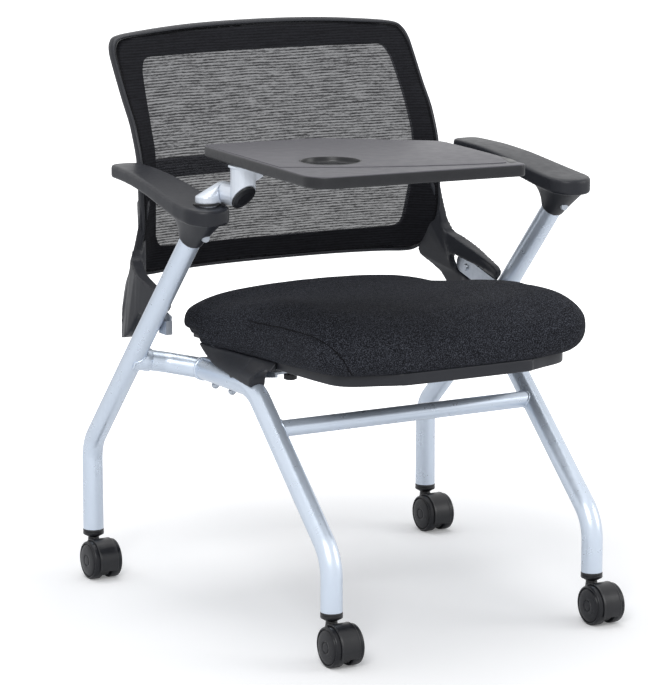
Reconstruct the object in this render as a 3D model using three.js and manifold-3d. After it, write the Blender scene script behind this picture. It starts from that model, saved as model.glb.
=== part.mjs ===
// A nesting chair with a writing tablet, built as an assembly of separate pieces.
// Millimetres, +Z up, the sitter faces -Y, so the sitter's right hand is on -X.
import * as THREE from "three";
import { mergeVertices } from "three/addons/utils/BufferGeometryUtils.js";
import Module from "manifold-3d";

const wasm = await Module();
wasm.setup();

// Clearances that many pieces share
const restGap = 0.3;
const weldDistance = 0.001;
const runningGap = 0.08;
const cutMargin = 40;

// Round sections
const tubeSides = 16;
const boreSides = 8;
const turnedSides = 16;
const pinSides = 24;
const wheelSides = 20;
const boltSides = 10;
const bendSteps = 4;

// Leg tubes
const tubeRadius = 16;
const tubeBore = 14;
const tubeBend = 70;
const footHeight = 74;

// Front legs, with the side runs that carry the seat
const frontHalfSpan = 224.5;
const frontFootReach = 305;
const frontKneeHeight = 151.8;
const shoulderReach = 78;
const runHeight = 360;
const runEnd = 81;

// Crossbar between the front legs
const crossbarRadius = 12.5;
const crossbarBore = 10.5;
const crossbarShare = 0.2524;

// Rear legs, which lean forward up to the armrests
const rearFootHalfSpan = 306.2;
const rearFootReach = 305;
const rearKneeHeight = 210.6;
const rearKneeBend = 60;
const rearBendHalfSpan = 316.2;
const rearBendReach = 137;
const rearBendRise = 17;
const rearBendHeight = runHeight + rearBendRise;
const rearBendRadius = 900;
const rearTopHalfSpan = 314.6;
const rearTopReach = 47.6;
const rearTopHeight = 579.5;
const rearTopTuck = 22;

// Side stubs, welded between the side runs and the rear legs
const stubCollarRadius = 18;
const stubCollarLength = 8;
const stubLead = 7;
const stubBend = 22;
const stubMiddleOut = 40;
const stubMiddleBack = 36;
const stubMiddleRise = 7;
const stubMiddleBend = 40;
const stubEndCollarLength = 26;

// Seat hinge brackets on the side runs
const hingeReach = 80;
const hingeRise = 28;
const hingeHeight = runHeight + hingeRise;
const studRadius = 5;
const studTip = 196;
const bracketInner = 208;
const bracketOuter = 229;
const bracketEar = 4;
const bracketPlate = 3;
const bracketFront = 22;
const bracketRear = 79;
const earRear = 92;
const earFront = 51;
const earTop = 9;
const bracketBoltRadius = 3;
const bracketBoltHole = 3.3;
const bracketBoltRear = 45;
const bracketBoltFront = 8;
const bracketBoltReaches = [bracketBoltRear, -bracketBoltFront];
const boltHeadRadius = 5.5;
const boltHeadHeight = 3.4;
const boltNutRadius = 6.2;
const boltNutHeight = 7;

// Seat outline, as shares of its half width and its length
const seatHalfWidth = 235;
const seatFront = 320;
const seatRear = 186;
const seatOutlineShares = [
  [0, 0],
  [0.35, 0],
  [0.6, 0.004],
  [0.72, 0.009],
  [0.83, 0.02],
  [0.92, 0.048],
  [0.98, 0.09],
  [1, 0.14],
  [1, 0.28],
  [1, 0.42],
  [1, 0.56],
  [1, 0.7],
  [1, 0.78],
  [1, 0.858],
  [0.977, 0.912],
  [0.91, 0.958],
  [0.811, 0.989],
  [0.694, 1],
  [0.35, 1],
  [0, 1],
];

// Outline of the pan, which narrows under the front of the cushion
const panOutlineShares = [
  [0, 0.004],
  [0.38, 0.004],
  [0.5, 0.014],
  [0.617, 0.036],
  [0.72, 0.054],
  [0.8, 0.075],
  [0.85, 0.11],
  [0.872, 0.171],
  [0.9, 0.28],
  [0.928, 0.42],
  [0.955, 0.56],
  [0.985, 0.7],
  [1, 0.78],
  [1, 0.858],
  [0.977, 0.912],
  [0.91, 0.958],
  [0.811, 0.989],
  [0.694, 1],
  [0.35, 1],
  [0, 1],
];

// Seat pan under the cushion
const rimRise = 21;
const rimHeight = hingeHeight + rimRise;
const rimFall = 12;
const panLip = 17;
const panFloor = 4;
const panInset = 5;
const panBottomInset = 13;
const panWall = 12;
const panRearHalfWidth = 197;
const panRearStart = 46;
const panRearThickness = 6;
const panFoldReach = 14;
const lipSoften = 5;

// Skirts of the pan, which straddle the side runs
const skirtOuter = 234;
const skirtInner = 206;
const skirtNose = 203;
const skirtNoseDepth = 12;
const skirtFront = 75;
const skirtBottom = runHeight;
const skirtShoulderRise = 6;
const skirtShoulder = runHeight + skirtShoulderRise;
const skirtLip = 3;
const skirtPocketFront = 24;
const skirtPocketDrop = 1.5;
const skirtPocketTop = hingeHeight - skirtPocketDrop;
const skirtPocketInner = 206;
const skirtPocketDeep = 8;
const skirtRearBottom = 43;
const skirtRearTop = 90;
const skirtRearRise = 3;
const skirtRearHeight = hingeHeight + skirtRearRise;

// Seat board between the pan and the cushion
const boardThickness = 10;
const boardInset = 18;
const boardSink = 2;

// Cushion, heights above the rim at the sides and the crown, as shares of its height
const cushionHeight = 74;
const cushionDrawIn = 12;
const crownShares = [
  [0, 0.83],
  [0.06, 0.93],
  [0.13, 0.975],
  [0.26, 1],
  [0.42, 0.99],
  [0.55, 0.93],
  [0.68, 0.86],
  [0.82, 0.82],
  [0.93, 0.82],
  [1, 0.76],
];
const shoulderShares = [
  [0, 0.84],
  [0.13, 0.9],
  [0.3, 0.88],
  [0.5, 0.81],
  [0.7, 0.74],
  [0.85, 0.68],
  [1, 0.66],
];
const shoulderRise = 11;
const widestShares = [
  [0, 0.56],
  [0.13, 0.55],
  [0.5, 0.5],
  [1, 0.47],
];
const tuckStep = 8;
const tuckShares = [0.2, 0.5];
const rearUndercut = 10;
// Each row: inset from the widest outline, share of the rise from there to the shoulder
const shoulderInsets = [
  [1, 0.5],
  [5, 0.86],
  [9, 0.93],
  [12, 1],
];
// Each row: inset, share of the rise from the shoulder to the crown
const crownInsets = [
  [30, 0.45],
  [62, 0.78],
  [110, 0.95],
  [170, 1],
];

// Seat hinge arms under the pan
const armWebInner = 198;
const armWebOuter = 202;
const armFlangeInner = 168;
const armFlange = 4;
const armFront = 100;
const armRear = 15;
const armDrop = 13;
const armEye = 9;

// Bumpers under the pan, over the front bends
const bumperHalfSpan = 190;
const bumperReach = 124;
const bumperRadius = 10;
const bumperHeight = 8;

// Armrests
const armrestHalfSpan = 313.7;
const armrestHalfWidth = 35;
const armrestNoseReach = 94;
const armrestRear = 192;
const armrestTaper = 21;
const armrestTaperReach = 60;
const armrestEdge = 4.5;
const armrestNoseShares = [
  [0.975, 0.3],
  [0.9, 0.52],
  [0.7, 0.76],
  [0.4, 0.93],
  [0, 1],
];
const armrestTopShares = [
  [0, 0],
  [0.2, 0.21],
  [0.36, 0.45],
  [0.58, 0.77],
  [0.8, 0.95],
  [1, 1],
];
const armrestTopFront = 636;
const armrestTopRise = 31;
const armrestBottomFront = 612;
const armrestBottomRise = 36;
const armrestStations = 8;
const armrestTailInset = 6;

// Clamp necks under the armrests
const neckFront = 91;
const neckRear = 25;
const neckBottom = 579;
const neckHalfWidth = 23.5;
const neckFlareWidth = 31;
const neckFlareFront = 118;
const neckFlareRear = 6;
const neckFlareHeight = 622;
const neckCorner = 14;

// Clamp screws
const armScrewHeight = 591;
const armScrewHalfSpan = 311;
const armScrewRadius = 3;
const armScrewHole = 3.3;
const armScrewHead = 6;
const armScrewHeadHeight = 4;
const armScrewLength = 26;
const armScrewSink = 3;

// Tablet hinge, a swivel in the right armrest and a tilt axis across it
const swivelHalfSpan = 311;
const swivelReach = 94;
const cupSeatRise = 4;
const cupSeatHeight = armrestTopFront + cupSeatRise;
const cupSeatRadius = 19.3;
const cupDepth = 27;
const spigotRadius = 15;
const baseCapRadius = 18.5;
const baseCapHeight = 3.5;
const tiltRise = 16;
const tiltHeight = cupSeatHeight + tiltRise;
const seamOut = 30.4;
const seamAhead = 2.8;
const barrelRadius = 16.5;
const tiltDirection = new THREE.Vector3(0.1, -0.995, 0).normalize();
const lowerBarrelLength = 11;
const elbowFootHeight = 9;
const armrestClearance = 2;
const postOffset = 44;
const postRadius = 18.5;
const postFlangeRadius = 21.5;
const postFlangeHeight = 3.5;
const tiltBoltRadius = 5;
const tiltBoltTuck = 8.5;
const tiltBoltEnd = 33;
const elbowCapLong = 24;
const elbowCapShort = 17;
const elbowCapThickness = 3.5;
const elbowCapDome = 2;
const ribReach = 34;
const ribThickness = 4;
const ribDepth = 34;

// Writing tablet
const tabletRise = 64;
const tabletTop = tiltHeight + tabletRise;
const tabletThickness = 18;
const tabletSkin = 5;
const tabletCornerHalfSpan = 288;
const tabletCornerReach = 39;
const tabletTurn = -0.0785;
const tabletDepth = 380;
const tabletFrontWidth = 330;
const tabletRightWidth = 336;
const tabletCutLength = 115;
const tabletFrontLeftRadius = 36;
const tabletFrontRightRadius = 12;
const tabletCutRadius = 20;
const tabletRearRadius = 10;
const tabletEdgeInset = 3;
const cupHolderAcross = 93;
const cupHolderAlong = 237;
const cupHolderRadius = 41.5;
const cupHolderDepth = 8;

// Back frame, heights and depths as shares
const backBottom = 484;
const backHeight = 375;
const backNear = 197;
const backDepth = 125;
const backHalfWidth = 268;
const windowHalfWidth = 231;
const windowDepthHalfWidth = 222;
const backEdgeShares = [
  [0, 0.4],
  [0.096, 0.14],
  [0.219, 0],
  [0.32, 0.02],
  [0.45, 0.045],
  [0.605, 0.21],
  [0.715, 0.44],
  [0.952, 0.904],
  [1, 1],
];
const backWindowShares = [
  [0, 0.424],
  [0.104, 0.36],
  [0.309, 0.256],
  [0.485, 0.224],
  [0.605, 0.344],
  [0.715, 0.496],
  [0.877, 0.76],
  [1, 1],
];
const backCentreShares = [
  [0, 0.52],
  [0.104, 0.472],
  [0.309, 0.376],
  [0.485, 0.36],
  [0.605, 0.464],
  [0.715, 0.6],
  [0.877, 0.84],
  [1, 1.05],
];
// Each row: outer width, outer height, inner width, inner height
const backRingShares = [
  [0, 0, 0, 0.104],
  [0.41, -0.001, 0.455, 0.104],
  [0.71, -0.006, 0.78, 0.104],
  [0.866, -0.012, 0.896, 0.107],
  [0.94, -0.005, 0.935, 0.115],
  [0.985, 0.021, 0.957, 0.131],
  [1, 0.075, 0.968, 0.163],
  [1, 0.23, 0.987, 0.283],
  [1, 0.39, 1, 0.416],
  [1, 0.55, 1, 0.563],
  [1, 0.71, 0.989, 0.696],
  [1, 0.843, 0.972, 0.803],
  [0.996, 0.901, 0.959, 0.837],
  [0.974, 0.941, 0.935, 0.864],
  [0.922, 0.964, 0.896, 0.876],
  [0.746, 0.979, 0.78, 0.877],
  [0.41, 0.995, 0.455, 0.88],
  [0, 1, 0, 0.88],
];
const backBorderDepth = 16;
// Each row: share across the border, share of its depth
const backSectionShares = [
  [0, 0],
  [0.5, 0],
  [0.93, 0],
  [1, 0.22],
  [1, 0.72],
  [0.9, 1],
  [0, 0.55],
];

// Back mesh
const meshThickness = 2;
const meshSink = 1;
const meshRingShares = [1, 0.76, 0.5, 0.25];
const meshCentreShare = 0.49;

// Lumbar bar behind the mesh
const lumbarHeight = 630;
const lumbarWidth = 31;
const lumbarThickness = 8;
const lumbarSink = 11.5;
const lumbarHalfSpan = 250;
const lumbarSteps = 12;

// Steel plates between the rear legs and the wings
const plateInner = 290;
const plateThickness = 3.7;
const plateRise = 77;
const plateStartHeight = runHeight + plateRise;
const plateDrop = 22.5;
const rearTopLean = (rearBendReach + rearTopReach) / (rearTopHeight - rearBendHeight);
const plateStart = rearBendReach - (plateStartHeight + plateDrop - rearBendHeight) * rearTopLean;
const plateRun = 110;
const plateEnd = plateStart + plateRun;
const plateEndRise = 29;
const plateEndHeight = plateStartHeight + plateEndRise;
const plateHalfWidth = 14;
const plateFootOuter = 300.5;
const plateFootBack = 20;
const plateFootAhead = 4;
const plateFootRise = 7;
const plateFootDrop = 14;
const plateFootRear = plateStart + plateFootBack;
const plateFootFront = plateStart - plateFootAhead;
const plateFootTop = plateStartHeight + plateFootRise;
const plateFootBottom = plateStartHeight - plateFootDrop;
const plateRecess = 0.5;
const plateScrewShares = [0.3, 0.86];
const plateScrewRadius = 3;
const plateScrewHole = 3.3;
const plateScrewHead = 6;
const plateScrewHeadHeight = 2.6;
const plateScrewLength = 12;

// Wings that carry the back, as reach, height, inner and outer shares of the wing sizes
const wingNear = 55;
const wingReach = 200;
const wingDrop = 38;
const wingLow = plateStartHeight - wingDrop;
const wingHeight = 201;
const wingInner = 250;
const wingSpread = 61;
const wingShares = [
  [0.75, 1, 0, 0.29],
  [0.725, 0.766, 0.2, 0.44],
  [0.71, 0.602, 0.36, 0.656],
  [0.6, 0.547, 0.475, 0.787],
  [0.47, 0.498, 0.557, 0.869],
  [0.27, 0.438, 0.59, 0.836],
  [0.035, 0.353, 0.623, 0.777],
  [0.125, 0.239, 0.623, 0.777],
  [0.165, 0.174, 0.623, 0.795],
  [0.33, 0.174, 0.607, 0.885],
  [0.425, 0.219, 0.59, 0.918],
  [0.55, 0.06, 0.656, 0.984],
  [0.65, 0, 0.689, 1],
  [0.75, 0.005, 0.705, 0.869],
  [0.765, 0.104, 0.672, 0.844],
  [0.8, 0.204, 0.56, 0.762],
  [0.9, 0.303, 0.34, 0.541],
  [0.975, 0.378, 0.12, 0.352],
  [0.93, 0.502, 0.02, 0.262],
  [0.87, 0.652, 0, 0.2],
  [0.84, 0.801, 0, 0.23],
  [0.84, 1, 0, 0.25],
];

// Casters
const casterTrail = 26;
const wheelRadius = 30;
const wheelInner = 7;
const wheelWidth = 18;
const wheelTread = 10;
const wheelBore = 4.1;
const wheelBoreDepth = 10;
const wheelSteps = [27, 22];
const wheelStepShares = [0.8, 1];
const axleRadius = 4.02;
const axleLength = 16.2;
const hoodHalfWidth = 6.7;
const hoodRadius = 30.5;
const hoodCut = 15;
const hoodSteps = 11;
const neckRadius = 8.5;
const neckTop = 61.8;
const neckLow = 34;
const stemRadius = 5.55;
const stemBottom = 44;
const stemTop = 102;
const plugBore = 5.65;
const plugRadius = 12.7;
const plugTop = 98;
const collarRadius = 16.4;
const collarTop = 73.7;
const collarMiddle = 67;
const collarBottom = 62.2;
const collarFoot = 11.5;

// Turns a closed geometry into a solid that can be joined and cut, with its faces outwards.
function solidFrom(geometry) {
  const plain = geometry.index ? geometry.toNonIndexed() : geometry.clone();
  plain.deleteAttribute("normal");
  plain.deleteAttribute("uv");
  const merged = mergeVertices(plain, weldDistance);
  const spots = merged.attributes.position.array;
  const index = merged.index.array;
  const corners = [];
  let six = 0;
  for (let i = 0; i < index.length; i += 3) {
    const [a, b, c] = [index[i], index[i + 1], index[i + 2]];
    if (a === b || b === c || a === c) continue;
    corners.push(a, b, c);
    const first = new THREE.Vector3().fromArray(spots, a * 3);
    const second = new THREE.Vector3().fromArray(spots, b * 3);
    const third = new THREE.Vector3().fromArray(spots, c * 3);
    six += first.dot(second.cross(third));
  }
  if (six < 0) corners.reverse();
  return new wasm.Manifold(
    new wasm.Mesh({
      numProp: 3,
      vertProperties: new Float32Array(spots),
      triVerts: new Uint32Array(corners),
    }),
  );
}

// Gives a solid back as a geometry that three.js can draw.
function geometryFrom(solid) {
  const mesh = solid.getMesh();
  const spots = new Float32Array(mesh.numVert * 3);
  for (let i = 0; i < mesh.numVert; i++) {
    spots.set(mesh.vertProperties.subarray(i * mesh.numProp, i * mesh.numProp + 3), i * 3);
  }
  const indexed = new THREE.BufferGeometry();
  indexed.setAttribute("position", new THREE.BufferAttribute(spots, 3));
  indexed.setIndex(new THREE.BufferAttribute(new Uint32Array(mesh.triVerts), 1));
  const geometry = indexed.toNonIndexed();
  geometry.computeVertexNormals();
  return geometry;
}

// Joins solids into one.
function joined(...solids) {
  return solids.reduce((all, solid) => all.add(solid));
}

// Takes solids away from one.
function carved(solid, ...tools) {
  return tools.reduce((left, tool) => left.subtract(tool), solid);
}

// Mirrors a solid from the +X side to the -X side.
function mirrored(solid) {
  return solid.mirror([1, 0, 0]);
}

// The normal of a ring of points, summed over its edges.
function ringNormal(ring) {
  const normal = new THREE.Vector3();
  ring.forEach((point, i) => {
    const next = ring[(i + 1) % ring.length];
    normal.x += (point.y - next.y) * (point.z + next.z);
    normal.y += (point.z - next.z) * (point.x + next.x);
    normal.z += (point.x - next.x) * (point.y + next.y);
  });
  return normal.normalize();
}

// The triangles that close a ring, turned to face along the given normal.
function capFaces(ring, normal) {
  const size = new THREE.Vector3(Math.abs(normal.x), Math.abs(normal.y), Math.abs(normal.z));
  const most = Math.max(size.x, size.y, size.z);
  const [u, v, w] = most === size.x ? ["y", "z", "x"] : most === size.y ? ["z", "x", "y"] : ["x", "y", "z"];
  const flat = ring.map((point) => new THREE.Vector2(point[u], point[v]));
  const order = flat.map((_, i) => i);
  if (THREE.ShapeUtils.isClockWise(flat)) {
    flat.reverse();
    order.reverse();
  }
  return THREE.ShapeUtils.triangulateShape(flat, []).map(([a, b, c]) => {
    const turn = flat[b].clone().sub(flat[a]).cross(flat[c].clone().sub(flat[a]));
    return turn * normal[w] < 0 ? [order[a], order[c], order[b]] : [order[a], order[b], order[c]];
  });
}

// Skins a row of rings with equal numbers of points; a row that returns has no ends.
// An end ring of one point closes to that point.
function skinned(rings, returning = false) {
  const spots = [];
  const starts = [];
  for (const ring of rings) {
    starts.push(spots.length / 3);
    ring.forEach((point) => spots.push(point.x, point.y, point.z));
  }
  const faces = [];
  const rows = returning ? rings.length : rings.length - 1;
  for (let row = 0; row < rows; row++) {
    const after = (row + 1) % rings.length;
    const count = Math.max(rings[row].length, rings[after].length);
    for (let i = 0; i < count; i++) {
      const next = (i + 1) % count;
      const near = (k) => starts[row] + (rings[row].length === 1 ? 0 : k);
      const far = (k) => starts[after] + (rings[after].length === 1 ? 0 : k);
      faces.push([near(i), near(next), far(next)]);
      faces.push([near(i), far(next), far(i)]);
    }
  }
  if (!returning) {
    const first = rings[0];
    const last = rings[rings.length - 1];
    if (first.length > 1) {
      const facing = ringNormal(first).negate();
      capFaces(first, facing).forEach((face) => faces.push(face));
    }
    if (last.length > 1) {
      const start = starts[rings.length - 1];
      capFaces(last, ringNormal(last)).forEach((face) => faces.push(face.map((i) => i + start)));
    }
  }
  const geometry = new THREE.BufferGeometry();
  geometry.setAttribute("position", new THREE.Float32BufferAttribute(spots, 3));
  geometry.setIndex(faces.flat());
  return solidFrom(geometry);
}

// A slab between two levels of an outline, set in space by a function.
function slab(outline, low, high, place) {
  return skinned([
    outline.map(([across, along]) => place(across, along, low)),
    outline.map(([across, along]) => place(across, along, high)),
  ]);
}

// The three ways a slab can stand.
const flatSlab = (across, along, level) => new THREE.Vector3(across, along, level);
const sideSlab = (reach, height, level) => new THREE.Vector3(level, reach, height);

// A box between two corners.
function block(low, high) {
  const outline = [
    [low[0], low[1]],
    [high[0], low[1]],
    [high[0], high[1]],
    [low[0], high[1]],
  ];
  return slab(outline, low[2], high[2], flatSlab);
}

// An outline with each corner rounded: rows of across, along and radius.
function roundedOutline(corners, steps) {
  const outline = [];
  corners.forEach(([across, along, radius], i) => {
    const corner = new THREE.Vector2(across, along);
    const before = corners[(i + corners.length - 1) % corners.length];
    const after = corners[(i + 1) % corners.length];
    const back = new THREE.Vector2(before[0], before[1]).sub(corner).normalize();
    const on = new THREE.Vector2(after[0], after[1]).sub(corner).normalize();
    if (!radius) {
      outline.push([across, along]);
      return;
    }
    const half = Math.acos(THREE.MathUtils.clamp(back.dot(on), -1, 1)) / 2;
    const middle = back.clone().add(on).normalize().multiplyScalar(radius / Math.sin(half)).add(corner);
    const from = corner.clone().addScaledVector(back, radius / Math.tan(half)).sub(middle);
    const to = corner.clone().addScaledVector(on, radius / Math.tan(half)).sub(middle);
    const turn = Math.atan2(from.cross(to), from.dot(to));
    for (let step = 0; step <= steps; step++) {
      const point = from.clone().rotateAround(new THREE.Vector2(), (turn * step) / steps).add(middle);
      outline.push([point.x, point.y]);
    }
  });
  return outline;
}

// A round rod between two points, with an optional other radius at its end.
function rod(from, to, radius, sides = turnedSides, endRadius = radius) {
  const way = to.clone().sub(from);
  const geometry = new THREE.CylinderGeometry(endRadius, radius, way.length(), sides);
  const turn = new THREE.Quaternion().setFromUnitVectors(new THREE.Vector3(0, 1, 0), way.clone().normalize());
  geometry.applyQuaternion(turn);
  geometry.translate(...from.clone().add(to).multiplyScalar(0.5).toArray());
  return solidFrom(geometry);
}

// A turned piece from rows of radius and height, standing on Z.
function turned(profile, sides = turnedSides) {
  const points = profile.map(([radius, height]) => new THREE.Vector2(radius, height));
  const geometry = new THREE.LatheGeometry(points, sides);
  geometry.rotateX(Math.PI / 2);
  return solidFrom(geometry);
}

// A ball.
function ball(centre, radius) {
  const geometry = new THREE.SphereGeometry(radius, turnedSides, boreSides);
  geometry.translate(...centre.toArray());
  return solidFrom(geometry);
}

// A path of straight runs and round bends, with its stations only where it bends.
class BentRun extends THREE.Curve {
  constructor(points, bends) {
    super();
    this.stations = [];
    const last = points.length - 1;
    const way = (i) => points[i + 1].clone().sub(points[i]).normalize();
    this.stations.push([points[0].clone(), way(0)]);
    for (let i = 1; i < last; i++) {
      const incoming = way(i - 1);
      const outgoing = way(i);
      const angle = incoming.angleTo(outgoing);
      const tangent = bends[i - 1] * Math.tan(angle / 2);
      const start = points[i].clone().addScaledVector(incoming, -tangent);
      const axis = incoming.clone().cross(outgoing).normalize();
      const inward = axis.clone().cross(incoming);
      const middle = start.clone().addScaledVector(inward, bends[i - 1]);
      for (let step = 0; step <= bendSteps; step++) {
        const turn = (angle * step) / bendSteps;
        const arm = start.clone().sub(middle).applyAxisAngle(axis, turn);
        this.stations.push([middle.clone().add(arm), incoming.clone().applyAxisAngle(axis, turn)]);
      }
    }
    this.stations.push([points[last].clone(), way(last - 1)]);
  }
  get steps() {
    return this.stations.length - 1;
  }
  getPointAt(share) {
    return this.stations[Math.round(share * this.steps)][0].clone();
  }
  getTangentAt(share) {
    return this.stations[Math.round(share * this.steps)][1].clone();
  }
  getSpacedPoints() {
    return this.stations.map(([point]) => point.clone());
  }
}

// The points of a circle.
function circle(radius, sides) {
  const points = [];
  for (let i = 0; i < sides; i++) {
    const angle = (i / sides) * 2 * Math.PI;
    points.push(new THREE.Vector2(Math.cos(angle), Math.sin(angle)).multiplyScalar(radius));
  }
  return points;
}

// A bar or, with a bore, a tube along a bent run.
function bentTube(points, bends, radius, bore = 0) {
  const run = new BentRun(points, bends);
  const section = new THREE.Shape(circle(radius, tubeSides));
  if (bore) section.holes.push(new THREE.Path(circle(bore, boreSides)));
  const geometry = new THREE.ExtrudeGeometry(section, {
    steps: run.steps,
    bevelEnabled: false,
    extrudePath: run,
  });
  return solidFrom(geometry);
}

// Reads a value off rows of share and value.
function along(rows, share) {
  if (share <= rows[0][0]) return rows[0][1];
  for (let i = 1; i < rows.length; i++) {
    const [from, low] = rows[i - 1];
    const [to, high] = rows[i];
    if (share <= to) return low + ((high - low) * (share - from)) / (to - from);
  }
  return rows[rows.length - 1][1];
}

// A half outline from +X completed on the -X side, in order round the loop.
function bothSides(half) {
  const back = half.filter(([across]) => across > 0).reverse();
  return [...half, ...back.map(([across, ...rest]) => [-across, ...rest])];
}

// Front leg of the +X side, from its foot over the knee and the shoulder to the end of the side run
const frontFoot = new THREE.Vector3(frontHalfSpan, -frontFootReach, footHeight);
const frontKnee = new THREE.Vector3(frontHalfSpan, -frontFootReach, frontKneeHeight);
const frontShoulder = new THREE.Vector3(frontHalfSpan, -shoulderReach, runHeight);
const frontRunEnd = new THREE.Vector3(frontHalfSpan, runEnd, runHeight);

function frontTube(radius, bore) {
  return bentTube([frontFoot, frontKnee, frontShoulder, frontRunEnd], [tubeBend, tubeBend], radius, bore);
}

function frontLeg() {
  const bolts = bracketBoltReaches.map((reach) => {
    const low = new THREE.Vector3(frontHalfSpan, reach, runHeight - cutMargin);
    const high = new THREE.Vector3(frontHalfSpan, reach, runHeight + cutMargin);
    return rod(low, high, bracketBoltHole, boreSides);
  });
  return carved(frontTube(tubeRadius, tubeBore), ...bolts);
}

// Crossbar between the front legs, saddle-cut to both
function crossbar() {
  const end = frontShoulder.clone().lerp(frontKnee, crossbarShare);
  const start = end.clone().setX(-end.x);
  const bar = bentTube([start, end], [], crossbarRadius, crossbarBore);
  const leg = frontTube(tubeRadius + restGap);
  return carved(bar, leg, mirrored(leg));
}

// Rear leg of the +X side
const rearFoot = new THREE.Vector3(rearFootHalfSpan, rearFootReach, footHeight);
const rearKnee = new THREE.Vector3(rearFootHalfSpan, rearFootReach, rearKneeHeight);
const rearBend = new THREE.Vector3(rearBendHalfSpan, rearBendReach, rearBendHeight);
const rearTop = new THREE.Vector3(rearTopHalfSpan, -rearTopReach, rearTopHeight);
const rearWay = rearTop.clone().sub(rearBend).normalize();
const rearEnd = rearTop.clone().addScaledVector(rearWay, rearTopTuck);

function rearTube(radius, bore) {
  const bends = [rearKneeBend, rearBendRadius];
  return bentTube([rearFoot, rearKnee, rearBend, rearEnd], bends, radius, bore);
}

function armScrewLine(from, to) {
  return [
    new THREE.Vector3(armScrewHalfSpan, from, armScrewHeight),
    new THREE.Vector3(armScrewHalfSpan, to, armScrewHeight),
  ];
}

function rearLeg() {
  const hole = rod(...armScrewLine(-neckFront - cutMargin, -rearTopReach - tubeRadius), armScrewHole, boreSides);
  return carved(rearTube(tubeRadius, tubeBore), hole);
}

// Stub from the end of the side run to the rear leg
function sideStub() {
  const start = frontRunEnd.clone().add(new THREE.Vector3(0, restGap, 0));
  const lead = start.clone().add(new THREE.Vector3(0, stubLead, 0));
  const middle = lead.clone().add(new THREE.Vector3(stubMiddleOut, stubMiddleBack, stubMiddleRise));
  const tube = (radius) => bentTube([start, lead, middle, rearBend], [stubBend, stubMiddleBend], radius);
  const collarEnd = start.clone().add(new THREE.Vector3(0, stubCollarLength, 0));
  const collar = rod(start, collarEnd, stubCollarRadius, tubeSides);
  const weldStart = rearBend.clone().lerp(middle, stubEndCollarLength / rearBend.distanceTo(middle));
  const weld = rod(weldStart, rearBend, stubCollarRadius, tubeSides);
  return carved(joined(tube(tubeRadius), collar, weld), tube(tubeBore), rearTube(tubeRadius + restGap));
}

// Bracket on the side run that carries the seat hinge's stud
function hingeBracket() {
  const floor = runHeight + tubeRadius + restGap;
  const top = floor + bracketPlate;
  const plate = block([bracketInner, -bracketFront, floor], [bracketOuter, bracketRear, top]);
  const ear = slab(
    [
      [earFront, floor],
      [earFront, top + bracketPlate],
      [hingeReach - earTop, hingeHeight + earTop],
      [hingeReach + earTop, hingeHeight + earTop],
      [earRear, hingeHeight],
      [earRear, top + restGap],
      [bracketRear, top],
      [bracketRear, floor],
    ],
    bracketInner,
    bracketInner + bracketEar,
    sideSlab,
  );
  const stud = rod(
    new THREE.Vector3(studTip, hingeReach, hingeHeight),
    new THREE.Vector3(bracketInner + bracketEar / 2, hingeReach, hingeHeight),
    studRadius,
    pinSides,
  );
  const holes = bracketBoltReaches.map((reach) => {
    const low = new THREE.Vector3(frontHalfSpan, reach, floor - bracketPlate);
    const high = new THREE.Vector3(frontHalfSpan, reach, top + bracketPlate);
    return rod(low, high, bracketBoltHole, boreSides);
  });
  return carved(joined(plate, ear, stud), ...holes);
}

// Bolt through the bracket and the side run, with its domed nut below
function bracketBolt(reach) {
  const head = runHeight + tubeRadius + restGap + bracketPlate + restGap;
  const nut = runHeight - tubeRadius - restGap;
  const profile = [
    [0, nut - boltNutHeight],
    [boltNutRadius / 2, nut - boltNutHeight],
    [boltNutRadius, nut - boltNutHeight / 2],
    [boltNutRadius, nut],
    [bracketBoltRadius, nut],
    [bracketBoltRadius, head],
    [boltHeadRadius, head],
    [boltHeadRadius, head + boltHeadHeight / 2],
    [boltHeadRadius / 2, head + boltHeadHeight],
    [0, head + boltHeadHeight],
  ];
  return turned(profile, boltSides).translate([frontHalfSpan, reach, 0]);
}

// Seat outline and levels
const seatLength = seatFront + seatRear;
const seatReach = (share) => -seatFront + share * seatLength;
const seatShare = (reach) => (reach + seatFront) / seatLength;
const rimAt = (reach) => rimHeight - rimFall * seatShare(reach);

// A loop of the seat outline moved inwards, with a limit on its rear half width.
function seatLoop(inset, rearLimit = seatHalfWidth, outlineShares = seatOutlineShares) {
  const halfWidth = seatHalfWidth - inset;
  const front = seatFront - inset;
  const length = seatLength - inset * 2;
  const half = outlineShares.map(([across, share]) => {
    const reach = -front + share * length;
    const width = across * halfWidth;
    return [reach > panRearStart ? Math.min(width, rearLimit) : width, reach];
  });
  return half;
}

const panLoop = (inset, rearLimit) => seatLoop(inset, rearLimit, panOutlineShares);

// A level ring of the seat from a loop and a height for each reach.
function seatRing(half, heightAt) {
  return bothSides(half).map(([across, reach]) => new THREE.Vector3(across, reach, heightAt(reach, across)));
}

// The underside of the pan
const panBottomAt = (reach) => rimAt(reach) - panLip - seatShare(reach) * panInset;

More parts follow.
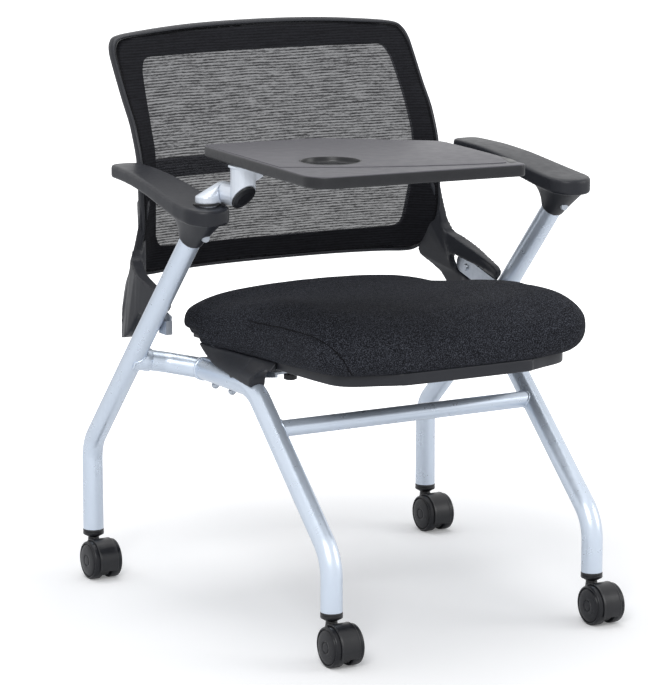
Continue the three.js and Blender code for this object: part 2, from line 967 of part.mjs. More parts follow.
function seatPan() {
  const rearLimit = panRearHalfWidth;
  const body = skinned([
    seatRing(panLoop(panBottomInset, rearLimit - panInset), panBottomAt),
    seatRing(panLoop(panInset, rearLimit), (reach) => panBottomAt(reach) + lipSoften),
    seatRing(panLoop(panInset, rearLimit), rimAt),
  ]);
  // Behind the hinge the underside rises to a thin edge.
  const rearWedge = slab(
    [
      [-panFoldReach, panBottomAt(-panFoldReach) - restGap],
      [panRearStart, rimAt(panRearStart) - panRearThickness],
      [seatRear + cutMargin, rimAt(seatRear + cutMargin) - panRearThickness],
      [seatRear + cutMargin, skirtBottom],
      [-panFoldReach, skirtBottom],
    ],
    -panRearHalfWidth - panInset,
    panRearHalfWidth + panInset,
    sideSlab,
  );
  const hollowLoop = panLoop(boardInset + panWall);
  const behindFold = block([-seatHalfWidth, -panFoldReach - panFloor, 0], [seatHalfWidth, seatRear, rimHeight * 2]);
  const hollow = skinned([
    seatRing(hollowLoop, (reach) => panBottomAt(reach) + panFloor),
    seatRing(hollowLoop, (reach) => rimAt(reach) + panFloor),
  ]);
  const boardLoop = panLoop(boardInset - restGap, rearLimit - panWall + restGap);
  const boardSeat = skinned([
    seatRing(boardLoop, (reach) => rimAt(reach) - boardSink - restGap),
    seatRing(boardLoop, (reach) => rimAt(reach) + panFloor),
  ]);
  const tube = frontTube(tubeRadius + restGap);
  const pocket = block(
    [skirtPocketInner, -skirtPocketFront, skirtBottom - cutMargin],
    [skirtOuter - skirtLip, skirtRearTop + cutMargin, skirtPocketTop],
  );
  const rearPocket = block(
    [skirtPocketInner - skirtPocketDeep, panRearStart, skirtBottom - cutMargin],
    [skirtOuter - skirtLip, skirtRearTop + cutMargin, rimHeight + cutMargin],
  );
  const shell = joined(carved(body, rearWedge), skirt(), mirrored(skirt()));
  const cuts = [pocket, rearPocket, tube];
  return carved(shell, hollow.subtract(behindFold), boardSeat, ...cuts, ...cuts.map(mirrored));
}

// Skirt of the pan on the +X side, a nose over the side run and a thin outer wall round the bracket
function skirt() {
  const side = [
    [-skirtFront, rimAt(-skirtFront) - restGap],
    [-skirtFront, skirtBottom],
    [-skirtFront + skirtNoseDepth, skirtBottom],
    [-skirtPocketFront, skirtShoulder],
    [skirtRearBottom, skirtShoulder],
    [skirtRearTop, skirtRearHeight],
    [skirtRearTop, rimAt(skirtRearTop) - restGap],
  ];
  const body = slab(side, skirtInner, skirtOuter, sideSlab);
  const nose = block(
    [skirtNose, -skirtFront, skirtBottom],
    [skirtOuter, -skirtFront + skirtNoseDepth, rimAt(-skirtFront) - panLip],
  );
  return joined(body, nose);
}

// Seat board
function seatBoard() {
  const loop = panLoop(boardInset, panRearHalfWidth - panWall);
  return skinned([
    seatRing(loop, (reach) => rimAt(reach) - boardSink),
    seatRing(loop, (reach) => rimAt(reach) - boardSink + boardThickness),
  ]);
}

// Cushion, with its crown, its drawn-in sides and the channel along its shoulder
function seatCushion() {
  const at = (rows) => (reach) => rimAt(reach) + cushionHeight * along(rows, seatShare(reach));
  const low = (reach) => rimAt(reach) + restGap;
  const raised = (share) => (reach, width) => {
    const middle = 1 - (width / seatHalfWidth) ** 2;
    return THREE.MathUtils.lerp(at(widestShares)(reach), at(shoulderShares)(reach) + shoulderRise * middle, share);
  };
  const crowned = (share) => (reach, width) =>
    THREE.MathUtils.lerp(raised(1)(reach, width), at(crownShares)(reach), share);
  const lower = (share) => (reach) => THREE.MathUtils.lerp(low(reach), at(widestShares)(reach), share);
  const ring = (inset, heightAt, limit) => seatRing(seatLoop(inset, limit), heightAt);
  const rings = [
    ring(cushionDrawIn, low, panRearHalfWidth + tuckStep),
    ring(cushionDrawIn, lower(tuckShares[0]), panRearHalfWidth + tuckStep * 2),
    ring(cushionDrawIn / 2, lower(tuckShares[1]), seatHalfWidth - rearUndercut),
    ring(0, raised(0)),
    ...shoulderInsets.map(([inset, share]) => ring(inset, raised(share))),
    ...crownInsets.map(([inset, share]) => ring(inset, crowned(share))),
    [new THREE.Vector3(0, seatReach(0.5), at(crownShares)(seatReach(0.5)))],
  ];
  const board = panLoop(boardInset - restGap, panRearHalfWidth - panWall + restGap);
  const recess = skinned([
    seatRing(board, (reach) => rimAt(reach) - cutMargin),
    seatRing(board, (reach) => rimAt(reach) - boardSink + boardThickness + restGap),
  ]);
  return carved(skinned(rings), recess);
}

// Hinge arm under the pan, with the eye that turns on the stud
function hingeArm() {
  const under = (reach) => panBottomAt(reach) - restGap;
  const flange = skinned([
    seatArmRing((reach) => under(reach) - armFlange),
    seatArmRing(under),
  ]);
  const low = under(0) - armFlange - armDrop;
  const web = slab(
    [
      [-armFront, under(-armFront) - armFlange / 2],
      [-armFront, under(-armFront) - armFlange * 2],
      [-armRear * 2, low],
      [armRear * 2, low],
      [hingeReach, hingeHeight - armEye],
      [hingeReach, hingeHeight + armEye],
      [armRear * 2, under(armRear) - armFlange / 2],
      [-armRear, under(-armRear) - armFlange / 2],
    ],
    armWebInner,
    armWebOuter,
    sideSlab,
  );
  const eye = rod(
    new THREE.Vector3(armWebInner, hingeReach, hingeHeight),
    new THREE.Vector3(armWebOuter, hingeReach, hingeHeight),
    armEye,
  );
  const bore = rod(
    new THREE.Vector3(armWebInner - armFlange, hingeReach, hingeHeight),
    new THREE.Vector3(armWebOuter + armFlange, hingeReach, hingeHeight),
    studRadius + runningGap,
    pinSides,
  );
  return carved(joined(flange, web, eye), bore);
}

// A level ring for the hinge arm's flange.
function seatArmRing(heightAt) {
  const corners = [
    [armFlangeInner, -armFront],
    [armWebOuter, -armFront],
    [armWebOuter, -armRear],
    [armFlangeInner, -armRear],
  ];
  return corners.map(([across, reach]) => new THREE.Vector3(across, reach, heightAt(reach)));
}

// Rubber bumper under the pan
function seatBumper() {
  const top = panBottomAt(bumperRadius - bumperReach) - restGap;
  const profile = [
    [0, top - bumperHeight],
    [bumperRadius * 0.7, top - bumperHeight],
    [bumperRadius, top - bumperHeight * 0.8],
    [bumperRadius, top],
    [0, top],
  ];
  return turned(profile).translate([bumperHalfSpan, -bumperReach, 0]);
}

// Heights of the armrest at a reach
const armrestNose = -armrestNoseReach - armrestHalfWidth;
const armrestLength = armrestRear - armrestNose;
const armrestTopAt = (reach) =>
  armrestTopFront + armrestTopRise * along(armrestTopShares, (reach - armrestNose) / armrestLength);
const armrestBottomAt = (reach) =>
  armrestBottomFront + armrestBottomRise * along(armrestTopShares, (reach - armrestNose) / armrestLength);

// A cross section of the armrest pad
function armrestSection(reach, halfWidth) {
  const low = armrestBottomAt(reach);
  const high = armrestTopAt(reach);
  const edge = Math.min(armrestEdge, halfWidth / 2);
  const corners = [
    [-halfWidth, low + edge],
    [-halfWidth + edge, low],
    [halfWidth - edge, low],
    [halfWidth, low + edge],
    [halfWidth, high - edge],
    [halfWidth - edge * 0.3, high - edge * 0.3],
    [halfWidth - edge, high],
    [-halfWidth + edge, high],
    [-halfWidth + edge * 0.3, high - edge * 0.3],
    [-halfWidth, high - edge],
  ];
  // The outer edge draws in towards the rear.
  const taper = armrestTaper * Math.max(0, (reach + armrestTaperReach) / (armrestRear + armrestTaperReach));
  return corners.map(([across, height]) => {
    const share = (across + armrestHalfWidth) / (armrestHalfWidth * 2);
    return new THREE.Vector3(armrestHalfSpan + across - taper * share, reach, height);
  });
}

// Armrest of the +X side: the pad, the clamp neck and the socket for the rear leg
function armrest() {
  const rings = armrestNoseShares.map(([reachShare, widthShare]) =>
    armrestSection(-armrestNoseReach - armrestHalfWidth * reachShare, armrestHalfWidth * widthShare),
  );
  const straight = armrestRear - armrestTailInset + armrestNoseReach;
  for (let i = 1; i <= armrestStations; i++) {
    rings.push(armrestSection(-armrestNoseReach + (straight * i) / armrestStations, armrestHalfWidth));
  }
  rings.push(armrestSection(armrestRear - armrestTailInset * 0.3, armrestHalfWidth - armrestTailInset * 0.3));
  rings.push(armrestSection(armrestRear, armrestHalfWidth - armrestTailInset));
  const neckRing = (halfWidth, front, rear, height) =>
    roundedOutline(
      [
        [armrestHalfSpan - halfWidth, -front, neckCorner],
        [armrestHalfSpan + halfWidth, -front, neckCorner],
        [armrestHalfSpan + halfWidth, -rear, neckCorner],
        [armrestHalfSpan - halfWidth, -rear, neckCorner],
      ],
      3,
    ).map(([across, reach]) => new THREE.Vector3(across, reach, height));
  const middleHeight = (neckBottom + neckFlareHeight) / 2;
  const neck = skinned([
    neckRing(neckHalfWidth, neckFront, neckRear, neckBottom),
    neckRing(neckHalfWidth * 1.04, neckFront * 1.05, neckRear * 0.95, middleHeight),
    neckRing(neckFlareWidth, neckFlareFront, neckFlareRear, neckFlareHeight),
  ]);
  const hole = rod(...armScrewLine(-neckFront - cutMargin, -rearTopReach - tubeRadius), armScrewHole);
  const sink = rod(...armScrewLine(-neckFront - cutMargin, -neckFront + armScrewSink), armScrewHead + restGap);
  return carved(joined(skinned(rings), neck), rearTube(tubeRadius + restGap), hole, sink);
}

// Socket in the right armrest for the tablet hinge, given on the +X side
const swivelSpot = new THREE.Vector3(swivelHalfSpan, -swivelReach, 0);

function tabletSocket() {
  const floor = swivelSpot.clone().setZ(cupSeatHeight - cupDepth);
  const seat = swivelSpot.clone().setZ(cupSeatHeight);
  const above = swivelSpot.clone().setZ(cupSeatHeight + cutMargin);
  return joined(rod(floor, above, spigotRadius + runningGap, pinSides), rod(seat, above, cupSeatRadius));
}

// Screw that clamps the armrest to the leg
function armScrew() {
  const face = -neckFront + armScrewSink - restGap;
  const shank = rod(...armScrewLine(face - armScrewHeadHeight / 2, face + armScrewLength), armScrewRadius, boltSides);
  const head = rod(...armScrewLine(face - armScrewHeadHeight, face), armScrewHead, boltSides);
  return joined(shank, head);
}

// Tablet hinge, at its place over the right armrest: the seam between the elbows lies beside the swivel
const swivel = new THREE.Vector3(-swivelHalfSpan, -swivelReach, tiltHeight);
const seam = new THREE.Vector3(-swivelHalfSpan + seamOut, -swivelReach - seamAhead, tiltHeight);
const onTilt = (distance) => seam.clone().addScaledVector(tiltDirection, distance);
const postSpot = onTilt(postOffset);

function elbowBaseCap() {
  const low = cupSeatHeight + restGap;
  const profile = [
    [spigotRadius + restGap, low],
    [baseCapRadius, low],
    [baseCapRadius, low + baseCapHeight * 0.7],
    [baseCapRadius - baseCapHeight * 0.3, low + baseCapHeight],
    [spigotRadius + restGap, low + baseCapHeight],
    [spigotRadius + restGap, low],
  ];
  return turned(profile).translate([swivel.x, swivel.y, 0]);
}

function lowerElbow() {
  const floor = swivel.clone().setZ(cupSeatHeight - cupDepth + restGap);
  const above = swivel.clone().setZ(cupSeatHeight + baseCapHeight + restGap * 2);
  const spigot = rod(floor, above.clone().setZ(above.z + restGap), spigotRadius, pinSides);
  const foot = rod(above, above.clone().setZ(above.z + elbowFootHeight), barrelRadius);
  const barrel = rod(onTilt(-lowerBarrelLength), seam, barrelRadius);
  const turning = rod(seam, onTilt(tiltBoltEnd), barrelRadius + restGap * 3);
  const baseCapRoom = rod(floor, above, baseCapRadius + restGap);
  const armrestRoom = rod(floor, above.clone().setZ(cupSeatHeight + armrestClearance), cutMargin);
  const casting = carved(wasm.Manifold.hull([foot, barrel]), turning, baseCapRoom, armrestRoom);
  return carved(
    joined(casting, spigot),
    rod(onTilt(-tiltBoltTuck), onTilt(tiltBoltEnd), tiltBoltRadius + restGap, pinSides),
  );
}

function tiltBolt() {
  return rod(onTilt(-tiltBoltTuck + restGap), onTilt(tiltBoltEnd), tiltBoltRadius, pinSides);
}

// The elbow's outer corner is cut off at a slant, and the cap covers the cut.
const slant = tiltDirection.clone().add(new THREE.Vector3(0, 0, -1)).normalize();
const slantUp = tiltDirection.clone().add(new THREE.Vector3(0, 0, 1)).normalize();
const slantSide = slant.clone().cross(slantUp);

function upperElbow() {
  const top = tabletTop - tabletThickness - restGap;
  const barrel = rod(onTilt(restGap), postSpot, barrelRadius);
  const post = rod(postSpot, postSpot.clone().setZ(top), postRadius);
  const flange = rod(postSpot.clone().setZ(top - postFlangeHeight), postSpot.clone().setZ(top), postFlangeRadius);
  const ribTop = postSpot.clone().setZ(top);
  const rib = skinned(
    [-ribThickness / 2, ribThickness / 2].map((level) => {
      const point = (reach, drop) => {
        const spot = ribTop.clone().addScaledVector(slantSide, -reach);
        return spot.addScaledVector(tiltDirection, level).setZ(top - drop);
      };
      return [point(0, 0), point(ribReach, 0), point(ribReach, ribDepth * 0.6), point(0, ribDepth)];
    }),
  );
  const body = joined(barrel, ball(postSpot, postRadius), post, flange, rib);
  const bore = rod(onTilt(0), onTilt(tiltBoltEnd + restGap), tiltBoltRadius + runningGap, pinSides);
  const beyond = rod(postSpot, postSpot.clone().addScaledVector(slant, cutMargin), cutMargin);
  return carved(body, bore, beyond);
}

function elbowCap() {
  const ring = (share, rise) => {
    const centre = postSpot.clone().addScaledVector(slant, rise);
    return circle(share, wheelSides).map((point) =>
      centre
        .clone()
        .addScaledVector(slantUp, point.x * elbowCapLong)
        .addScaledVector(slantSide, point.y * elbowCapShort),
    );
  };
  return skinned([
    ring(1, restGap),
    ring(1, elbowCapThickness - restGap),
    ring(0.94, elbowCapThickness),
    ring(0.55, elbowCapThickness + elbowCapDome),
  ]);
}

// Writing tablet, laid out from its near corner and turned a little
function tabletPlace(across, along, level) {
  const turn = new THREE.Vector2(across, -along).rotateAround(new THREE.Vector2(), tabletTurn);
  return new THREE.Vector3(turn.x - tabletCornerHalfSpan, turn.y - tabletCornerReach, level);
}

function tabletOutline(inset) {
  const rows = [
    [inset, inset, tabletRearRadius],
    [inset, tabletDepth - inset, tabletFrontLeftRadius - inset],
    [tabletFrontWidth - inset, tabletDepth - inset, tabletFrontRightRadius],
    [tabletRightWidth - inset, tabletCutLength + inset, tabletCutRadius],
    [tabletFrontWidth * 0.55, inset, tabletCutRadius],
  ];
  return roundedOutline(rows, bendSteps);
}

function cupHolderHole(low) {
  const centre = tabletPlace(cupHolderAcross, cupHolderAlong, low);
  return rod(centre, centre.clone().setZ(tabletTop + cutMargin), cupHolderRadius, pinSides);
}

function tabletPlate() {
  const low = tabletTop - tabletThickness;
  const high = tabletTop - tabletSkin - restGap;
  const ring = (inset, level) => tabletOutline(inset).map(([a, b]) => tabletPlace(a, b, level));
  const body = skinned([ring(tabletEdgeInset, low), ring(0, low + tabletEdgeInset), ring(0, high)]);
  return carved(body, cupHolderHole(tabletTop - cupHolderDepth));
}

function tabletSurface() {
  const ring = (inset, level) => tabletOutline(inset).map(([a, b]) => tabletPlace(a, b, level));
  const body = skinned([
    ring(0, tabletTop - tabletSkin),
    ring(0, tabletTop - tabletSkin / 2),
    ring(tabletSkin / 2, tabletTop),
  ]);
  return carved(body, cupHolderHole(tabletTop - tabletThickness));
}

// Depth of the back at a width and a height
function backReachAt(width, height) {
  const share = (height - backBottom) / backHeight;
  const span = Math.abs(width);
  const centre = along(backCentreShares, share);
  const window = along(backWindowShares, share);
  const edge = along(backEdgeShares, share);
  const inner = THREE.MathUtils.lerp(centre, window, Math.min(1, (span / windowDepthHalfWidth) ** 2));
  const blend = THREE.MathUtils.smoothstep(span, windowDepthHalfWidth, backHalfWidth);
  return backNear + backDepth * THREE.MathUtils.lerp(inner, edge, blend);
}

// Rows of outer and inner points round the back
function backStations() {
  return bothSides(
    backRingShares.map(([outer, outerHeight, inner, innerHeight]) => [
      outer * backHalfWidth,
      backBottom + outerHeight * backHeight,
      inner * windowHalfWidth,
      backBottom + innerHeight * backHeight,
    ]),
  ).map(([outer, outerHeight, inner, innerHeight], i, all) => {
    const mirrorSide = i >= backRingShares.length;
    return [outer, outerHeight, mirrorSide ? -inner : inner, innerHeight, all.length];
  });
}

function backRing() {
  const rings = backStations().map(([outer, outerHeight, inner, innerHeight]) =>
    backSectionShares.map(([share, depth]) => {
      const width = THREE.MathUtils.lerp(inner, outer, share);
      const height = THREE.MathUtils.lerp(innerHeight, outerHeight, share);
      return new THREE.Vector3(width, backReachAt(width, height) + depth * backBorderDepth, height);
    }),
  );
  return skinned(rings, true);
}

// Wing of the +X side
function wing() {
  const rim = wingShares.map(([reach, height, inner, outer]) => ({
    reach: wingNear + reach * wingReach,
    height: wingLow + height * wingHeight,
    inner: wingInner + inner * wingSpread,
    outer: wingInner + outer * wingSpread,
  }));
  return skinned([
    rim.map(({ reach, height, inner }) => new THREE.Vector3(inner, reach, height)),
    rim.map(({ reach, height, outer }) => new THREE.Vector3(outer, reach, height)),
  ]);
}

// The plate's outline in reach and height, grown by a margin
function plateOutline(margin) {
  const start = new THREE.Vector2(plateStart, plateStartHeight);
  const end = new THREE.Vector2(plateEnd, plateEndHeight);
  const way = end.clone().sub(start).normalize();
  const side = new THREE.Vector2(-way.y, way.x);
  const half = plateHalfWidth + margin;
  const outline = [
    start.clone().addScaledVector(side, half),
    start.clone().addScaledVector(side, -half),
  ];
  for (let step = 0; step <= turnedSides / 2; step++) {
    const turn = -Math.PI / 2 + (Math.PI * step) / (turnedSides / 2);
    const arm = way.clone().multiplyScalar(Math.cos(turn) * half);
    outline.push(end.clone().add(arm).addScaledVector(side, Math.sin(turn) * half));
  }
  return outline.map((point) => [point.x, point.y]);
}

function plateScrewSpots() {
  return plateScrewShares.map((share) => [
    THREE.MathUtils.lerp(plateStart, plateEnd, share),
    THREE.MathUtils.lerp(plateStartHeight, plateEndHeight, share),
  ]);
}

function plateScrewHoles(length) {
  return plateScrewSpots().map(([reach, height]) =>
    rod(
      new THREE.Vector3(plateInner - cutMargin, reach, height),
      new THREE.Vector3(plateInner + length, reach, height),
      plateScrewHole,
      boreSides,
    ),
  );
}

function backPlate() {
  const strap = slab(plateOutline(0), plateInner, plateInner + plateThickness, sideSlab);
  const foot = block(
    [plateInner, plateFootFront, plateFootBottom],
    [plateFootOuter, plateFootRear, plateFootTop],
  );
  return carved(joined(strap, foot), rearTube(tubeRadius + restGap), ...plateScrewHoles(cutMargin));
}

function plateScrew([reach, height]) {
  const face = plateInner - restGap;
  const spot = (level) => new THREE.Vector3(level, reach, height);
  const shank = rod(spot(face - plateScrewHeadHeight / 2), spot(face + plateScrewLength), plateScrewRadius, boltSides);
  const head = rod(spot(face - plateScrewHeadHeight), spot(face), plateScrewHead * 0.7, boltSides, plateScrewHead);
  return joined(shank, head);
}

// Back frame: the ring round the mesh and the two wings, one moulding
function backFrame() {
  const room = slab(plateOutline(plateRecess), plateInner - cutMargin, plateInner + plateThickness + restGap, sideSlab);
  const foot = block(
    [plateInner - plateRecess, plateFootFront - cutMargin, plateFootBottom - plateRecess],
    [plateFootOuter + plateRecess, plateFootRear + plateRecess, plateFootTop + plateRecess],
  );
  const side = carved(wing(), room, foot, rearTube(tubeRadius + restGap), ...plateScrewHoles(plateScrewLength + restGap));
  return joined(backRing(), side, mirrored(side));
}

function backMesh() {
  const windows = backStations().map(([, , inner, innerHeight]) => [inner, innerHeight]);
  const middle = backBottom + meshCentreShare * backHeight;
  const shrink = 1 - (restGap * 2) / windowHalfWidth;
  const ring = (share, depth) =>
    windows.map(([width, height]) => {
      const across = width * share * shrink;
      const level = middle + (height - middle) * share * shrink;
      return new THREE.Vector3(across, backReachAt(across, level) + depth, level);
    });
  const centre = (depth) => [new THREE.Vector3(0, backReachAt(0, middle) + depth, middle)];
  const front = meshRingShares.map((share) => ring(share, meshSink));
  const back = meshRingShares.map((share) => ring(share, meshSink + meshThickness));
  return skinned([centre(meshSink), ...front.reverse(), ...back, centre(meshSink + meshThickness)]);
}

function lumbarBar(frame) {
  const rings = [];
  for (let step = 0; step <= lumbarSteps; step++) {
    const width = lumbarHalfSpan * ((2 * step) / lumbarSteps - 1);
    const point = (height, depth) =>
      new THREE.Vector3(width, backReachAt(width, height) + lumbarSink + depth, height);
    const high = lumbarHeight + lumbarWidth;
    const edge = lumbarThickness / 3;
    rings.push([
      point(lumbarHeight + edge, 0),
      point(high - edge, 0),
      point(high, edge),
      point(high, lumbarThickness - edge),
      point(high - edge, lumbarThickness),
      point(lumbarHeight + edge, lumbarThickness),
      point(lumbarHeight, lumbarThickness - edge),
      point(lumbarHeight, edge),
    ]);
  }
  return carved(skinned(rings), frame.translate([0, restGap, 0]));
}

// Caster pieces, at a leg's foot on the axis of the stem
function casterPlug() {
  return turned([
    [plugBore, collarBottom],
    [collarFoot, collarBottom],
    [collarRadius, collarMiddle],
    [collarRadius, collarTop],
    [plugRadius, collarTop],
    [plugRadius, plugTop],
    [plugBore, plugTop],
    [plugBore, collarBottom],
  ], wheelSides);
}

function casterStem() {
  return rod(new THREE.Vector3(0, 0, stemBottom), new THREE.Vector3(0, 0, stemTop), stemRadius, wheelSides);
}

function casterHood() {
  const cut = Math.asin((hoodCut - wheelRadius) / hoodRadius);
  const outline = [];
  for (let step = 0; step <= hoodSteps; step++) {
    const turn = cut + ((Math.PI - cut * 2) * step) / hoodSteps;
    outline.push([-casterTrail + Math.cos(turn) * hoodRadius, wheelRadius + Math.sin(turn) * hoodRadius]);
  }
  const body = slab(outline, -hoodHalfWidth, hoodHalfWidth, sideSlab);
  const neck = rod(new THREE.Vector3(0, 0, neckLow), new THREE.Vector3(0, 0, neckTop), neckRadius);
  const axle = rod(
    new THREE.Vector3(-axleLength, -casterTrail, wheelRadius),
    new THREE.Vector3(axleLength, -casterTrail, wheelRadius),
    axleRadius,
    wheelSides,
  );
  const wheels = block(
    [hoodHalfWidth, -casterTrail - wheelRadius - cutMargin, -cutMargin],
    [hoodHalfWidth + wheelRadius, cutMargin, wheelRadius * 2 + restGap],
  );
  const wheelRoom = rod(
    new THREE.Vector3(hoodHalfWidth, -casterTrail, wheelRadius),
    new THREE.Vector3(hoodHalfWidth + wheelRadius, -casterTrail, wheelRadius),
    wheelRadius + restGap * 3,
    wheelSides,
  );
  const room = wheels.intersect(wheelRoom);
  const stem = rod(
    new THREE.Vector3(0, 0, stemBottom - restGap),
    new THREE.Vector3(0, 0, stemTop),
    stemRadius + restGap / 3,
    wheelSides,
  );
  return joined(carved(joined(body, neck), room, mirrored(room), stem), axle);
}

// Wheel of a caster's +X side
function casterWheel() {
  const outer = wheelInner + wheelWidth;
  const profile = [
    [0, wheelInner + wheelBoreDepth],
    [wheelBore, wheelInner + wheelBoreDepth],
    [wheelBore, wheelInner],
    [wheelRadius, wheelInner],
    [wheelRadius, wheelInner + wheelTread],
    ...wheelSteps.map((radius, i) => [radius, wheelInner + wheelWidth * wheelStepShares[i]]),
    [0, outer],
  ];
  const points = profile.map(([radius, height]) => new THREE.Vector2(radius, height));
  const geometry = new THREE.LatheGeometry(points, wheelSides);
  geometry.rotateZ(-Math.PI / 2);
  geometry.translate(0, -casterTrail, wheelRadius);
  return solidFrom(geometry);
}

// Materials
const paint = () => new THREE.MeshStandardMaterial({ color: 0xc3cfdf, roughness: 0.32, metalness: 0.55 });
const zinc = () => new THREE.MeshStandardMaterial({ color: 0xb9bec6, roughness: 0.35, metalness: 0.9 });
const casting = () => new THREE.MeshStandardMaterial({ color: 0xbcc4ce, roughness: 0.4, metalness: 0.6 });
const moulding = () => new THREE.MeshStandardMaterial({ color: 0x26272b, roughness: 0.5, metalness: 0 });
const trim = () => new THREE.MeshStandardMaterial({ color: 0x1b1c1f, roughness: 0.38, metalness: 0 });
const rubber = () => new THREE.MeshStandardMaterial({ color: 0x17181a, roughness: 0.75, metalness: 0 });
const fabric = () => new THREE.MeshStandardMaterial({ color: 0x121316, roughness: 0.95, metalness: 0 });
const netting = () => new THREE.MeshStandardMaterial({ color: 0x2b2c30, roughness: 0.8, metalness: 0 });
const surface = () => new THREE.MeshStandardMaterial({ color: 0x4b4a51, roughness: 0.42, metalness: 0 });
const wood = () => new THREE.MeshStandardMaterial({ color: 0xa98a5f, roughness: 0.7, metalness: 0 });

// Assembly
const chair = new THREE.Group();
chair.name = "nesting_chair_with_tablet";

function add(name, solid, material) {
  const mesh = new THREE.Mesh(geometryFrom(solid), material);
  mesh.name = name;
  chair.add(mesh);
}

// Adds a piece on both sides, as _left on +X and _right on -X.
function addPair(name, solid, material) {
  add(name + "_left", solid, material());
  add(name + "_right", mirrored(solid), material());
}

addPair("front_leg", frontLeg(), paint);
add("front_crossbar", crossbar(), paint());
addPair("rear_leg", rearLeg(), paint);
addPair("side_stub", sideStub(), paint);
addPair("hinge_bracket", hingeBracket(), zinc);
addPair("bracket_bolt_front", bracketBolt(bracketBoltReaches[1]), zinc);
addPair("bracket_bolt_rear", bracketBolt(bracketBoltReaches[0]), zinc);
addPair("back_plate", backPlate(), zinc);
addPair("back_plate_screw_front", plateScrew(plateScrewSpots()[0]), zinc);
addPair("back_plate_screw_rear", plateScrew(plateScrewSpots()[1]), zinc);

const pad = armrest();
add("armrest_left", pad, moulding());
add("armrest_right", mirrored(pad.subtract(tabletSocket())), moulding());
addPair("arm_screw", armScrew(), trim);

const frame = backFrame();
add("back_frame", frame, moulding());
add("back_mesh", backMesh(), netting());
add("lumbar_bar", lumbarBar(frame), moulding());

add("seat_cushion", seatCushion(), fabric());
add("seat_pan", seatPan(), moulding());
add("seat_board", seatBoard(), wood());
addPair("seat_hinge_arm", hingeArm(), zinc);
addPair("seat_bumper", seatBumper(), rubber);

add("elbow_base_cap", elbowBaseCap(), trim());
add("lower_elbow", lowerElbow(), casting());
add("tilt_bolt", tiltBolt(), zinc());
add("upper_elbow", upperElbow(), casting());
add("elbow_cap", elbowCap(), trim());
add("tablet_plate", tabletPlate(), trim());
add("tablet_surface", tabletSurface(), surface());

// One caster under each leg
const feet = [
  ["front_left", frontHalfSpan, -frontFootReach],
  ["front_right", -frontHalfSpan, -frontFootReach],
  ["rear_left", rearFootHalfSpan, rearFootReach],
  ["rear_right", -rearFootHalfSpan, rearFootReach],
];
for (const [place, across, reach] of feet) {
  const spot = [across, reach, 0];
  const wheel = casterWheel();
  add("caster_plug_" + place, casterPlug().translate(spot), trim());
  add("caster_stem_" + place, casterStem().translate(spot), zinc());
  add("caster_hood_" + place, casterHood().translate(spot), trim());
  add("wheel_" + place + "_a", wheel.translate(spot), rubber());
  add("wheel_" + place + "_b", mirrored(wheel).translate(spot), rubber());
}

// The middle of the whole chair from front to back is put on the origin.
const bounds = new THREE.Box3().setFromObject(chair);
const chairShift = -(bounds.min.y + bounds.max.y) / 2;
chair.children.forEach((mesh) => mesh.geometry.translate(0, chairShift, 0));

export default chair;
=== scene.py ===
import math

import bmesh
import bpy
from mathutils import Matrix, Vector
from mathutils.bvhtree import BVHTree


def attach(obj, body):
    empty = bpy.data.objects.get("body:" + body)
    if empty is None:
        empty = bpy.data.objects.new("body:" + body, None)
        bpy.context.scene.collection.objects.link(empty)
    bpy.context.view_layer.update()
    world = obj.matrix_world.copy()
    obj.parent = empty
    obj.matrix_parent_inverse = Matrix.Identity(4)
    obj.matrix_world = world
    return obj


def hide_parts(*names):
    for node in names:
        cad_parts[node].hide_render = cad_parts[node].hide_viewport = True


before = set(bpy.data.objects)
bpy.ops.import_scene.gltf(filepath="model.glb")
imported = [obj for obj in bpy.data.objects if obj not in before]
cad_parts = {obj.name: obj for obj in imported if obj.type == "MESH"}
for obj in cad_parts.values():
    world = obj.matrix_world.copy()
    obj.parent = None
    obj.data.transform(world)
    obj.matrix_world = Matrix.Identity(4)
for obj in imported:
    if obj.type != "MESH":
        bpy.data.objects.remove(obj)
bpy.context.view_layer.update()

# Lengths below are millimetres in the chair's own frame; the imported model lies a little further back.
MM = 0.001
SHIFT = 50.55
SIDES = ((1, "left"), (-1, "right"))


def P(x, y, z):
    """A point of the chair in metres."""
    return Vector((x * MM, (y + SHIFT) * MM, z * MM))


def lerp(a, b, t):
    return a + (b - a) * t


def clamp(value, low, high):
    return max(low, min(high, value))


def smooth(value, low, high):
    t = clamp((value - low) / (high - low), 0, 1)
    return t * t * (3 - 2 * t)


def slope_to(rows, i):
    """The slope of the straight line that ends in a row."""
    i = clamp(i, 1, len(rows) - 1)
    return (rows[i][1] - rows[i - 1][1]) / (rows[i][0] - rows[i - 1][0])


def shared_slope(a, b):
    """The harmonic mean of two slopes, and level where the curve turns."""
    return 0 if a * b <= 0 else 2 * a * b / (a + b)


def read_row(rows, share):
    """A value read off rows of share and value along a smooth monotone curve."""
    share = clamp(share, rows[0][0], rows[-1][0])
    i = next(k for k in range(1, len(rows)) if share <= rows[k][0])
    (x0, y0), (x1, y1) = rows[i - 1:i + 1]
    h = x1 - x0
    t = (share - x0) / h
    m0 = shared_slope(slope_to(rows, i - 1), slope_to(rows, i))
    m1 = shared_slope(slope_to(rows, i + 1), slope_to(rows, i))
    start = (2 * t**3 - 3 * t**2 + 1) * y0 + (t**3 - 2 * t**2 + t) * h * m0
    return start + (-2 * t**3 + 3 * t**2) * y1 + (t**3 - t**2) * h * m1


